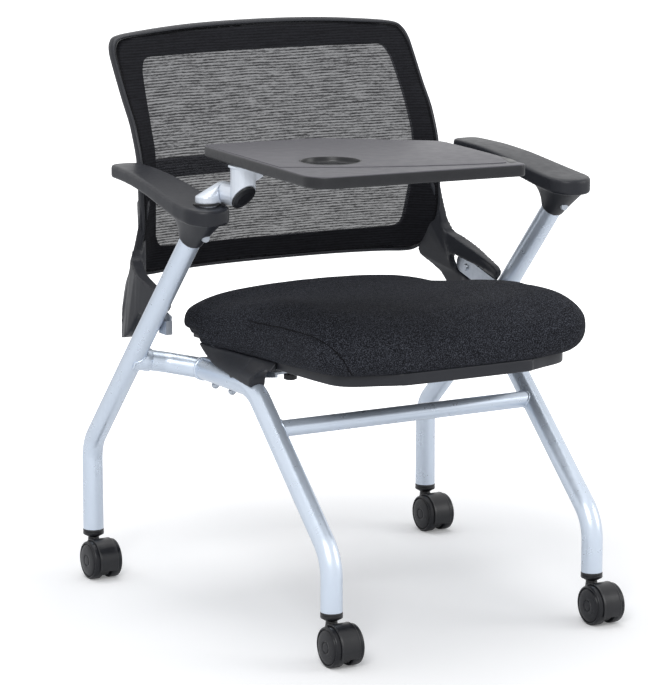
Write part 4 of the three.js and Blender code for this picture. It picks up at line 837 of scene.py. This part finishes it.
def seat_share(reach):
    return (reach + SEAT_FRONT) / SEAT_LENGTH


def rim_at(reach):
    return RIM_HIGH - RIM_FALL * seat_share(reach)


def seat_outline(inset, limit=None, shares=SEAT_SHARES):
    """The closed seat outline, moved inwards, in millimetres."""
    half = [(a * (SEAT_HALF - inset), -(SEAT_FRONT - inset) + s * (SEAT_LENGTH - 2 * inset)) for a, s in shares]
    loop = half + [(-x, y) for x, y in reversed(half)]
    out = spline(loop, 5)
    if limit is not None:
        out = [(clamp(x, -limit, limit) if y > NARROW_FROM else x, y) for x, y in out]
    return out


def pan_outline(inset, limit=None):
    return seat_outline(PAN_EDGE + inset, limit, PAN_SHARES)


# Heights of the cushion as shares of its thickness: its middle, its sides and its widest line
CENTRE = [(0, 0.86), (0.067, 0.95), (0.18, 1.03), (0.336, 1.03), (0.5, 0.98), (0.61, 0.95), (0.72, 0.94), (0.82, 0.95),
          (0.93, 0.96), (1, 0.9)]
SIDE = [(0, 1.0), (0.067, 1.1), (0.18, 1.17), (0.336, 1.17), (0.506, 1.07), (0.609, 0.96), (0.7, 0.85), (0.822, 0.74),
        (0.93, 0.78), (1, 0.72)]
WIDEST = [(0, 0.56), (0.13, 0.55), (0.5, 0.5), (1, 0.47)]
CUSHION = 74
SIDE_REACH = 195
# The underside keeps within a limit at the rear, where the brackets pass as the seat folds
FOLD_LIMIT = 205
FOLD_CLEAR = 10
FOLD_FROM = (86, 102)
# Rings of the underside in the pan: inset, limit and rise
IN_PAN = [(35, 180, 9), (14, 186, 8.6), (12, 188, 0.6)]
CROWN_INSETS = (0.6, 2, 4, 7, 11, 16, 22, 29, 37, 46, 56, 68, 82, 100, 125, 155, 190)
CROWN_REACH = (85, 62)
# The swell moves nothing up to a height above the pan's edge, and all of the cushion above its widest line
SWELL_CAP = 4
SWELL_HELD = 14
SWELL_FREE = 6


def widest_at(reach):
    return rim_at(reach) + CUSHION * read_row(WIDEST, seat_share(reach))


def lower_ring(angle):
    """A ring of the pillow's underside, from the pan at 0 to the widest line at 90 degrees."""
    out = math.sin(math.radians(angle))
    up = 1 - math.cos(math.radians(angle))
    ring = []
    for (near_x, near_y), (far_x, far_y) in zip(pan_outline(1), seat_outline(0)):
        x = lerp(near_x, far_x, out)
        y = lerp(near_y, far_y, out)
        rise = lerp(-1, widest_at(y) - rim_at(y), up)
        limit = lerp(FOLD_LIMIT, SEAT_HALF, smooth(rise, FOLD_CLEAR, FOLD_CLEAR * 2))
        limit = lerp(SEAT_HALF, limit, smooth(y, *FOLD_FROM))
        x = clamp(x, -limit, limit)
        ring.append(P(x, y, rim_at(y) + rise))
    return ring


def upper_height(x, y, inset):
    share = seat_share(y)
    reach = lerp(*CROWN_REACH, smooth(share, 0, 0.25))
    side = clamp(abs(x) / SIDE_REACH, 0, 1.05) ** 2.2
    top = rim_at(y) + CUSHION * lerp(read_row(CENTRE, share), read_row(SIDE, share), side)
    return lerp(widest_at(y), top, math.sqrt(1 - (1 - min(1, inset / reach)) ** 2))


def cushion_rings():
    middle = (SEAT_REAR - SEAT_FRONT) / 2
    rings = [[P(0, middle, rim_at(middle) + IN_PAN[0][2])]]
    for inset, limit, rise in IN_PAN:
        rings.append([P(x, y, rim_at(y) + rise) for x, y in pan_outline(inset, limit)])
    for angle in range(0, 91, 10):
        rings.append(lower_ring(angle))
    for inset in CROWN_INSETS:
        rings.append([P(x, y, upper_height(x, y, inset)) for x, y in seat_outline(inset)])
    rings.append([P(0, middle, upper_height(0, middle, SEAT_HALF))])
    return rings


def swell(obj, cap, share, frames=20, pressure=4.0):
    """Lets a closed skin swell a little by simulation: a point moves its share of the way, capped."""
    start = [v.co.copy() for v in obj.data.vertices]
    cloth = obj.modifiers.new("Cloth", "CLOTH")
    settings = cloth.settings
    settings.use_pressure = True
    settings.uniform_pressure_force = pressure
    settings.effector_weights.gravity = 0
    settings.quality = 4
    cloth.point_cache.frame_start = 1
    cloth.point_cache.frame_end = frames
    scene = bpy.context.scene
    for step in range(1, frames + 1):
        scene.frame_set(step)
    apply_modifiers(obj)
    for vertex, old in zip(obj.data.vertices, start):
        move = vertex.co - old
        if move.length > cap * MM:
            move = move.normalized() * cap * MM
        vertex.co = old + move * share(old)
    scene.frame_set(1)


def above_pan(spot):
    """How free a point of the cushion is to move: held at the pan, free from its widest line up."""
    reach = spot.y / MM - SHIFT
    return smooth(spot.z / MM, rim_at(reach) + SWELL_HELD, widest_at(reach) + SWELL_FREE)


# The seam of the side panel on the sitter's right: across, along and height
SEAM = [(-227.5, -60, 459), (-229.1, -120.7, 462.2), (-229, -169, 464.7), (-229, -221, 466.3), (-227.9, -253.8, 466.1),
        (-224.7, -272.3, 463.1), (-220.7, -285, 458.4), (-215.2, -295.4, 450.9), (-207.6, -301.3, 441.1),
        (-199.4, -302.1, 428.9), (-190.1, -297.4, 416.6), (-184, -293, 409.5)]
SEAM_WIDTH = 7
SEAM_DEPTH = 1.7


def make_cushion():
    obj = make("cushion_cover", *skin(cushion_rings()), KNIT, "seat", "seat_fabric", 180, ["seat_cushion"])
    remesh(obj, 5)
    relax(obj, 12)
    swell(obj, SWELL_CAP, above_pan)
    relax(obj, 1)
    modify(obj, "SUBSURF", levels=1, render_levels=1)
    tree = BVHTree.FromObject(obj, bpy.context.evaluated_depsgraph_get())
    path = [tree.find_nearest(P(*spot))[0] for spot in spline(SEAM, 8, False)]
    for vertex in obj.data.vertices:
        gap = nearest_gap(vertex.co, path) if vertex.co.x < -0.1 and vertex.co.y < 0.03 else 1
        if gap < SEAM_WIDTH * MM:
            depth = SEAM_DEPTH * (1 - gap / (SEAM_WIDTH * MM)) ** 2
            vertex.co = vertex.co - vertex.normal * depth * MM
    shade(obj)
    tree = BVHTree.FromObject(obj, bpy.context.evaluated_depsgraph_get())
    lower = []
    for point in path:
        spot, normal, _, _ = tree.find_nearest(point)
        lower.append(spot + normal * 0.1 * MM)
    # The dark cord in the groove is painted shade: it darkens the seam line beyond the groove's own shading.
    make("cushion_seam", *tube(lower, 0.75, 8), SEAM_SHADE_CORD, "seat", "seat_fabric")
    return obj


PAN_REAR_LIMIT = 197
PAN_DROP = [(-14, 22), (46, 6), (200, 6)]
PAN_DEPTH = [(-320, 1.08), (-240, 1.0), (-116, 0.78), (200, 0.72)]
PAN_RAISE = 1.4
# The pan's section: inset from its outline and drop from its upper edge
PAN_ROWS = [(17, 4.6), (16.4, 0.2), (1.8, 0), (0.9, 0.3), (0.25, 1), (0, 2), (0, 14.6), (0.5, 15.8), (1.5, 16.7),
            (3, 17), (16, 19.5), (34, 21)]
SKIRT_OUTER = 240
SKIRT_INNER = 213
SKIRT_WALL = 3.6
SKIRT_GAP = 0.4
# Ahead of the step the skirt is solid up to its inner face; behind it there is a wall of even thickness
SKIRT_STEP = -27
# Lower edge of the skirt: reach and height, from its curved nose to its rear tip
SKIRT_EDGE = [(-124, 391.5), (-112, 391.5), (-104, 389.5), (-97, 385), (-92.5, 378.5), (-90.3, 371), (-89, 364.5),
              (-84, 364), (-60, 366.3), (-10, 372.3), (28, 377.3), (51, 384), (74, 392.5), (86, 398.4)]


def pan_half(reach):
    """Half the pan's width at a reach along its sides."""
    rows = [(s, a) for a, s in PAN_SHARES[3:13]]
    length = SEAT_LENGTH - 2 * PAN_EDGE
    return (SEAT_HALF - PAN_EDGE) * read_row(rows, (reach + SEAT_FRONT - PAN_EDGE) / length)


def pan_ring(inset, drop):
    ring = []
    for x, y in pan_outline(inset, PAN_REAR_LIMIT):
        depth = min(drop * read_row(PAN_DEPTH, y), read_row(PAN_DROP, y))
        ring.append(P(x, y, rim_at(y) + PAN_RAISE - depth))
    return ring


def make_pan():
    make("pan_shell", *skin([pan_ring(inset, drop) for inset, drop in PAN_ROWS]), MOULDING, "seat", "frame_plastic", 50,
         ["seat_pan"])


def skirt_section(side, reach, low):
    """A closed section across the skirt at a reach, its lower edge at a height."""
    top = rim_at(reach) + PAN_RAISE
    edge = pan_half(reach) + SKIRT_GAP
    outer = [(edge - 2.2, top), (edge - 0.8, top - 0.3)]
    for i in range(8):
        z = lerp(top - 1.2, low + 1.5, i / 7)
        outer.append((lerp(edge, SKIRT_OUTER, smooth(top - z, -5, 33)), z))
    last = outer[-1][0]
    outer += [(last - 0.6, low + 0.4), (last - 1.6, low)]
    back = [(SKIRT_INNER if reach < SKIRT_STEP else x - SKIRT_WALL, z) for x, z in reversed(outer)]
    return [P(side * x, reach, z) for x, z in outer + back]


def make_skirts():
    for side, word in SIDES:
        edge = spline(SKIRT_EDGE, 4, False)
        front = [row for row in edge if row[0] < SKIRT_STEP] + [(SKIRT_STEP - 0.1, 366.7)]
        walls = []
        for y, z in edge:
            if y >= -60:
                section = skirt_section(side, max(y, SKIRT_STEP + 0.1), z)
                walls.append([Vector((v.x, (y + SHIFT) * MM, v.z)) for v in section])
        parts = [skin([skirt_section(side, y, z) for y, z in front]), skin(walls)]
        obj = make("pan_skirt_" + word, *joined_mesh(parts), MOULDING, "seat", "frame_plastic", 180)
        soften(obj, 1.4, shells=[tube(front_path(side), TUBE + TUBE_CLEAR)])


make_cushion()
make_pan()
make_skirts()

# Armrests
ARM_MIDDLE = 313.7
ARM_HALF = 35
ARM_NOSE = -94
ARM_REAR = 192
ARM_RISE = [(0, 0), (0.2, 0.21), (0.36, 0.45), (0.58, 0.77), (0.8, 0.95), (1, 1)]
ARM_TAPER = 21
ARM_EDGE = 4.5
ARM_WIDEST = -60
# Heights of the nose's top and underside, and how much each rises to the rear
ARM_TOP = (636, 31)
ARM_LOW = (612, 36)
ARM_SOCKET = (-311, -94, 613)
SOCKET = [(0, 0), (15.2, 0), (15.2, 26.6), (19.3, 27), (19.3, 60), (0, 60)]
SCREW_SPOT = (311, -88, 590.5)
SCREW_WAY = (0, -1, -0.35)
SCREW_HOLE = [(0, 0), (5, 0), (5, 40), (0, 40)]


def arm_share(reach):
    return read_row(ARM_RISE, clamp((reach - ARM_NOSE + ARM_HALF) / (ARM_REAR - ARM_NOSE + ARM_HALF), 0, 1))


def arm_top(reach):
    return ARM_TOP[0] + ARM_TOP[1] * arm_share(reach)


def arm_low(reach):
    return ARM_LOW[0] + ARM_LOW[1] * arm_share(reach)


def dense(loop, step):
    """A closed outline with its long sides divided."""
    out = []
    for i, (x, y) in enumerate(loop):
        next_x, next_y = loop[(i + 1) % len(loop)]
        pieces = max(1, math.ceil(math.hypot(next_x - x, next_y - y) / step))
        for k in range(pieces):
            out.append((lerp(x, next_x, k / pieces), lerp(y, next_y, k / pieces)))
    return out


def arm_outline():
    inner = ARM_MIDDLE - ARM_HALF
    outer = ARM_MIDDLE + ARM_HALF
    front = ARM_NOSE - ARM_HALF
    corner = ARM_HALF - 0.1
    return dense(rounded([(inner, front, corner), (outer, front, corner), (outer, ARM_WIDEST, 120),
                          (outer - ARM_TAPER, ARM_REAR, 17), (inner, ARM_REAR, 17)], 9), 8)


def arm_ring(side, loop, inset, height, rise):
    """A ring of the armrest moved towards its middle line, above a height."""
    ring = []
    for across, reach in loop:
        width = ARM_TAPER * clamp((reach - ARM_WIDEST) / (ARM_REAR - ARM_WIDEST), 0, 1)
        share = inset / ARM_HALF
        x = lerp(across, ARM_MIDDLE - width / 2, share)
        y = lerp(reach, clamp(reach, ARM_NOSE, ARM_REAR - 24), share)
        ring.append(P(side * x, y, height(y) + rise))
    return ring


def arm_block(side):
    rows = [(inset, arm_low, 0) for inset in (34.9, 24, 14, 7)]
    rows += [(3 * a, arm_low, 3 * b) for a, b in quarter(4)]
    rows += [(ARM_EDGE * b, arm_top, -ARM_EDGE * a) for a, b in quarter(5)]
    rows += [(inset, arm_top, crown) for inset, crown in ((7, 0.25), (12, 0.5), (18, 0.7), (26, 0.85), (34.9, 0.9))]
    loop = arm_outline()
    return skin([arm_ring(side, loop, *row) for row in rows])


# The armrest's neck, from a ring square to the leg to the block's underside
NECK_START = 7
NECK_RADIUS = 18.6
NECK_HALF = 32.5
NECK_FRONT = -125
NECK_REAR = -4
NECK_SINK = 4
NECK_BOW = 2.6
NECK_SIDES = 48


def neck_ring(side, share, shrink=0, rise=0):
    """A ring of the neck, 0 at the leg and 1 at the block."""
    bend, end = rear_points(side)[2:]
    way = (end - bend).normalized()
    centre = end + way * (NECK_START - REAR_REST) * MM
    across = Vector((1, 0, 0))
    over = way.cross(across).normalized()
    if over.y < 0:
        over = -over
    middle = (NECK_FRONT + NECK_REAR) / 2
    half = (NECK_REAR - NECK_FRONT) / 2
    ring = []
    for i in range(NECK_SIDES):
        angle = 2 * math.pi * i / NECK_SIDES
        c, s = math.cos(angle), math.sin(angle)
        low = centre + (across * c + over * s) * (NECK_RADIUS - shrink) * MM
        wide = abs(c) ** 0.8 * (1 if c > 0 else -1)
        long = abs(s) ** 0.9 * (1 if s > 0 else -1)
        y = middle + half * long
        high = P(side * ARM_MIDDLE + NECK_HALF * wide, y, arm_low(y) + NECK_SINK + rise)
        flat = share ** lerp(1.0, NECK_BOW, (1 + s) / 2)
        ring.append(Vector((lerp(low.x, high.x, flat), lerp(low.y, high.y, flat), lerp(low.z, high.z, share))))
    return ring


def arm_neck(side):
    rings = [neck_ring(side, 0, 1.4), neck_ring(side, 0.012, 0.4), neck_ring(side, 0.04)]
    rings += [neck_ring(side, i / 12) for i in range(1, 13)]
    rings.append(neck_ring(side, 1, 0, 5))
    return skin(rings)


def make_armrests():
    for side, word in SIDES:
        parts = [arm_block(side), arm_neck(side)]
        obj = make("arm_pad_" + word, *joined_mesh(parts), MOULDING, "frame", "frame_plastic", 180, ["armrest_" + word])
        screw = P(side * SCREW_SPOT[0], *SCREW_SPOT[1:])
        shells = [tube(rear_path(side), TUBE + TUBE_CLEAR),
                  lathe(SCREW_HOLE, screw, SCREW_WAY, 32)]
        if side < 0:
            shells.append(lathe(SOCKET, P(*ARM_SOCKET), (0, 0, 1)))
        soften(obj, 1.8, 4, shells, 60)


make_armrests()

# Tablet
TABLET_TURN = -0.0785
TABLET_EDGE = [(0, 0, 10), (0, 380, 36), (330, 380, 12), (336, 115, 20), (181.5, 0, 20)]
TABLET_LOW = 702
TABLET_HIGH = 720
# Layers: lower and upper face, and the radii of their rims
BODY_LAYER = (TABLET_LOW, TABLET_HIGH - 1.8, 3, 1.2)
SHEET_LAYER = (TABLET_HIGH - 3.5, TABLET_HIGH - 0.9, 0.2, 1.6)
PANEL_LAYER = (TABLET_HIGH - 1.6, TABLET_HIGH, 0.1, 0.6)
WEDGE_LAYER = (TABLET_HIGH - 1.6, TABLET_HIGH - 0.6, 0.1, 0.3)
CUP_SPOT = (93, 237, 709)
CUP_HOLE = 43.8
BOWL = [(0, 3), (34, 3), (38, 3.4), (40.2, 4.6), (41, 6.6), (41.2, 10.2), (41.5, 10.9), (42.2, 11.4), (43.2, 11.3),
        (43.7, 10.6), (43.7, 6), (42, 1.2), (38, 0.4), (0, 0.4)]
PANEL_EDGE = [(3, 262), (33, 277.5), (90, 303), (140, 321), (185, 334), (240, 347), (285, 355), (309, 355), (316, 344),
              (332, 291), (333.4, 240), (333.4, 126), (331, 113), (324, 103), (185, 3.4), (176, 1.8), (12, 1.8), (4, 4),
              (1.8, 12)]
WEDGE = [(333, 290), (317.5, 344), (314, 352), (318, 357.5), (325, 355), (330, 346), (334.2, 321)]


def tablet_spot(a, b, z):
    c, s = math.cos(TABLET_TURN), math.sin(TABLET_TURN)
    return P(a * c + b * s - 288, a * s - b * c - 39, z)


def moved_in(loop, inset):
    """A closed outline moved inwards by a length."""
    area = sum(loop[i - 1][0] * y - x * loop[i - 1][1] for i, (x, y) in enumerate(loop))
    sign = 1 if area > 0 else -1
    out = []
    for i, (x, y) in enumerate(loop):
        before, after = loop[i - 1], loop[(i + 1) % len(loop)]
        way = Vector((after[0] - before[0], after[1] - before[1])).normalized()
        out.append((x - way.y * inset * sign, y + way.x * inset * sign))
    return out


def tablet_layer(outline, low, high, low_edge, high_edge):
    """A flat layer of the tablet with both rims rounded."""
    rows = [(low_edge * a, low + low_edge * b) for a, b in quarter(4)]
    rows += [(high_edge * b, high - high_edge * a) for a, b in quarter(4)]
    return skin([[tablet_spot(a, b, z) for a, b in moved_in(outline, inset)] for inset, z in rows])


def make_tablet():
    edge = rounded(TABLET_EDGE, 8)
    cup = tablet_spot(*CUP_SPOT)
    hole = lathe([(0, 0), (CUP_HOLE, 0), (CUP_HOLE, 30), (0, 30)], cup, (0, 0, 1), 64)
    plate = tablet_layer(edge, *BODY_LAYER)
    body = make("tablet_body", *plate, TRIM, "tablet", "trim_plastic", 40, ["tablet_plate"])
    sheet = tablet_layer(moved_in(edge, 0.3), *SHEET_LAYER)
    top = make("tablet_top", *sheet, LAMINATE, "tablet", "tablet_laminate", 40, ["tablet_surface"])
    panel = make("tablet_panel", *tablet_layer(PANEL_EDGE, *PANEL_LAYER), LAMINATE, "tablet", "tablet_laminate")
    make("tablet_wedge", *tablet_layer(WEDGE, *WEDGE_LAYER), TRIM, "tablet", "trim_plastic")
    for obj in (body, top, panel):
        cut(obj, hole)
        shade(obj, 40)
    make("tablet_cup", *lathe(BOWL, cup, (0, 0, 1), 72), TRIM, "tablet", "trim_plastic")


make_tablet()

# Elbow


def shell_of(obj):
    """World vertices and faces of an object."""
    verts = [obj.matrix_world @ v.co for v in obj.data.vertices]
    return verts, [list(p.vertices) for p in obj.data.polygons]


def soft_copy(name, node, material, body, slot, voxel, rounds):
    """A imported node's shape with its facets and edges softened."""
    obj = make(name, *shell_of(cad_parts[node]), material, body, slot, 180, [node])
    soften(obj, voxel, rounds)


soft_copy("elbow_lower", "lower_elbow", CASTING, "tablet_base", "cast_metal", 0.9, 7)
soft_copy("elbow_upper", "upper_elbow", CASTING, "tablet", "cast_metal", 0.9, 5)
soft_copy("elbow_slant_cap", "elbow_cap", TRIM, "tablet", "trim_plastic", 0.8, 4)

# Casters
TRAIL = 26
WHEEL = 30
WHEEL_ROWS = [
    (0, 7.2), (10, 7.2), (10.6, 8.2), (23, 8.2), (24, 7.4), (28, 7.2), (29.3, 7.8), (30, 9.4), (30, 20.4), (29.6, 22),
    (28.7, 23), (27.3, 23.4), (26.5, 23.1), (26.1, 22.2), (25.7, 21.8), (25.1, 21.9), (24.7, 22.6), (24, 23.6),
    (22.6, 24.2), (18, 24.9), (12, 25.3), (9.4, 25.4), (8.8, 25.1), (8.5, 24.5), (8.0, 24.4), (7.6, 25), (7, 25.5),
    (4, 25.7), (0, 25.8),
]
FENDER = [(-15.6, 30.6), (-15.9, 31.4), (-15.5, 32.2), (-14.6, 32.4), (-13.4, 32), (-12.4, 31.9), (0, 32), (12.4, 31.9),
          (13.4, 32), (14.6, 32.4), (15.5, 32.2), (15.9, 31.4), (15.6, 30.6), (13, 30.5), (0, 30.5), (-13, 30.5)]
FENDER_TURN = (-27, 150)
CASTER_PLATE = [(0, -6.4), (25, -6.4), (26.5, -5), (26.5, 5), (25, 6.4), (0, 6.4)]
CASTER_NECK = [(0, 36), (11, 36), (13.4, 39), (12.6, 44), (10.2, 50), (9, 55), (8.6, 60), (8.2, 61.6), (0, 61.6)]
STEM_HOLE = [(0, 30), (5.8, 30), (5.8, 70), (0, 70)]
WEB_HALF = 6.4
CASTER_WEB = [(-20, 30), (6, 34), (9, 48), (-24, 58)]
CASTER_COLLAR = [(5.9, 62.2), (11, 62.2), (11.6, 62.7), (11.9, 64.2), (15, 64.6), (16, 65.1), (16.4, 66), (16.4, 69),
                 (16, 69.4), (15.7, 69.8), (16, 70.2), (16.4, 70.6), (16.4, 72.6), (16, 73.4), (15.2, 73.7),
                 (12.7, 73.8), (12.7, 98), (5.9, 98)]


def fender(hub):
    """A curved guard over both wheels, open at the bottom."""
    rings = []
    for step in range(33):
        angle = math.radians(lerp(*FENDER_TURN, step / 32))
        ring = []
        for across, radius in FENDER:
            ring.append(hub + Vector((across, -math.cos(angle) * radius, math.sin(angle) * radius)) * MM)
        rings.append(ring)
    return skin(rings)


def make_caster(word, x, y):
    hub = P(x, y - TRAIL, WHEEL)
    foot = P(x, y, 0)
    web = skin([[P(x + across, y + reach, z) for reach, z in CASTER_WEB] for across in (-WEB_HALF, WEB_HALF)])
    parts = [fender(hub), lathe(CASTER_PLATE, hub, (1, 0, 0)), lathe(CASTER_NECK, foot, (0, 0, 1), 40), web]
    hood = make("caster_guard_" + word, *joined_mesh(parts), TRIM, "caster_" + word, "trim_plastic", 180,
                ["caster_hood_" + word])
    soften(hood, 0.75, 4, [lathe(STEM_HOLE, foot, (0, 0, 1), 32)], 70)
    for mark in "ab":
        wheel = "wheel_%s_%s" % (word, mark)
        spots = shell_of(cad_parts[wheel])[0]
        side = 1 if sum(v.x for v in spots) / len(spots) > hub.x else -1
        disc = lathe(WHEEL_ROWS, hub, (side, 0, 0), 72)
        make("wheel_disc_%s_%s" % (word, mark), *disc, RUBBER, wheel, "soft_rubber", 34, [wheel])
    collar = lathe(CASTER_COLLAR, foot, (0, 0, 1), 48, True)
    make("caster_collar_" + word, *collar, TRIM, "frame", "trim_plastic", 40, ["caster_plug_" + word])


for foot_name, foot_spot in FOOT.items():
    make_caster(foot_name, *foot_spot)

# Camera, light and floor
CAMERA_SPOT = (-2501.7, -4262.0, 1347.9)
CAMERA_AZIMUTH = 29.844
CAMERA_FALL = 10.855
FLOOR_HALF = 14


def aim(obj, spot, way):
    """Puts an object at a spot, looking a way."""
    obj.location = spot
    obj.rotation_mode = "QUATERNION"
    obj.rotation_quaternion = way.to_track_quat("-Z", "Y")


def make_camera():
    data = bpy.data.cameras.new("Camera")
    data.lens = 173.6
    data.sensor_width = 36
    data.shift_x = -0.00345
    data.shift_y = -0.0069
    data.clip_end = 60
    turn, fall = math.radians(CAMERA_AZIMUTH), math.radians(CAMERA_FALL)
    way = Vector((math.sin(turn) * math.cos(fall), math.cos(turn) * math.cos(fall), -math.sin(fall)))
    camera = place("Camera", data)
    aim(camera, P(*CAMERA_SPOT), way)
    bpy.context.scene.camera = camera


def area_light(name, spot, target, size, power):
    data = bpy.data.lights.new(name, "AREA")
    data.shape = "RECTANGLE"
    data.size = data.size_y = size
    data.energy = power
    aim(place(name, data), spot, Vector(target) - Vector(spot))


def make_world():
    """White where the camera, a reflection or glass sees it, and a soft bluish light otherwise."""
    world = bpy.data.worlds.new("World")
    bpy.context.scene.world = world
    world.use_nodes = True
    n = Tree(world.node_tree)
    rays = n.add("ShaderNodeLightPath").outputs
    seen = n.math("MAXIMUM", rays["Is Camera Ray"], rays["Is Glossy Ray"])
    seen = n.math("MAXIMUM", seen, rays["Is Transmission Ray"])
    lighting = n.add("ShaderNodeBackground", {"Color": (0.95, 0.97, 1), "Strength": 0.55})
    white = n.add("ShaderNodeBackground", {"Color": (1, 1, 1), "Strength": 1})
    mix = n.add("ShaderNodeMixShader", {0: seen, 1: lighting.outputs[0], 2: white.outputs[0]})
    n.add("ShaderNodeOutputWorld", {0: mix.outputs[0]})


def make_floor():
    """Camera rays see white away from the object; near it the floor keeps its shadow."""
    n = Nodes("floor")
    n.set(Specular_IOR_Level=0.0, Roughness=1.0, Base_Color=(0.9, 0.9, 0.905))
    distance = n.add("ShaderNodeVectorMath", {0: n.place}, operation="LENGTH").outputs["Value"]
    seen = n.add("ShaderNodeLightPath").outputs["Is Camera Ray"]
    away = n.math("MULTIPLY", seen, n.span(distance, 0.45, 1.5, 0.16, 1.0))
    glow = n.add("ShaderNodeEmission", {"Strength": away}).outputs[0]
    total = n.add("ShaderNodeAddShader", {0: n.shader.outputs[0], 1: glow}).outputs[0]
    n.fill(n.out.inputs[0], total)
    mesh = bpy.data.meshes.new("floor")
    corners = [(x * FLOOR_HALF, y * FLOOR_HALF, 0) for x, y in ((-1, -1), (1, -1), (1, 1), (-1, 1))]
    mesh.from_pydata(corners, [], [(0, 1, 2, 3)])
    mesh.materials.append(n.material)
    floor = place("floor", mesh)


make_camera()
make_world()
make_floor()
area_light("key", (-2.6, -3.2, 3.2), (0, 0, 0.45), 1.8, 95)
area_light("fill", (3.2, -2.2, 1.8), (0, 0, 0.4), 2.0, 32)
area_light("top", (0, 0.4, 3.6), (0, 0, 0.4), 2.4, 42)
bpy.context.scene.view_settings.view_transform = "Standard"
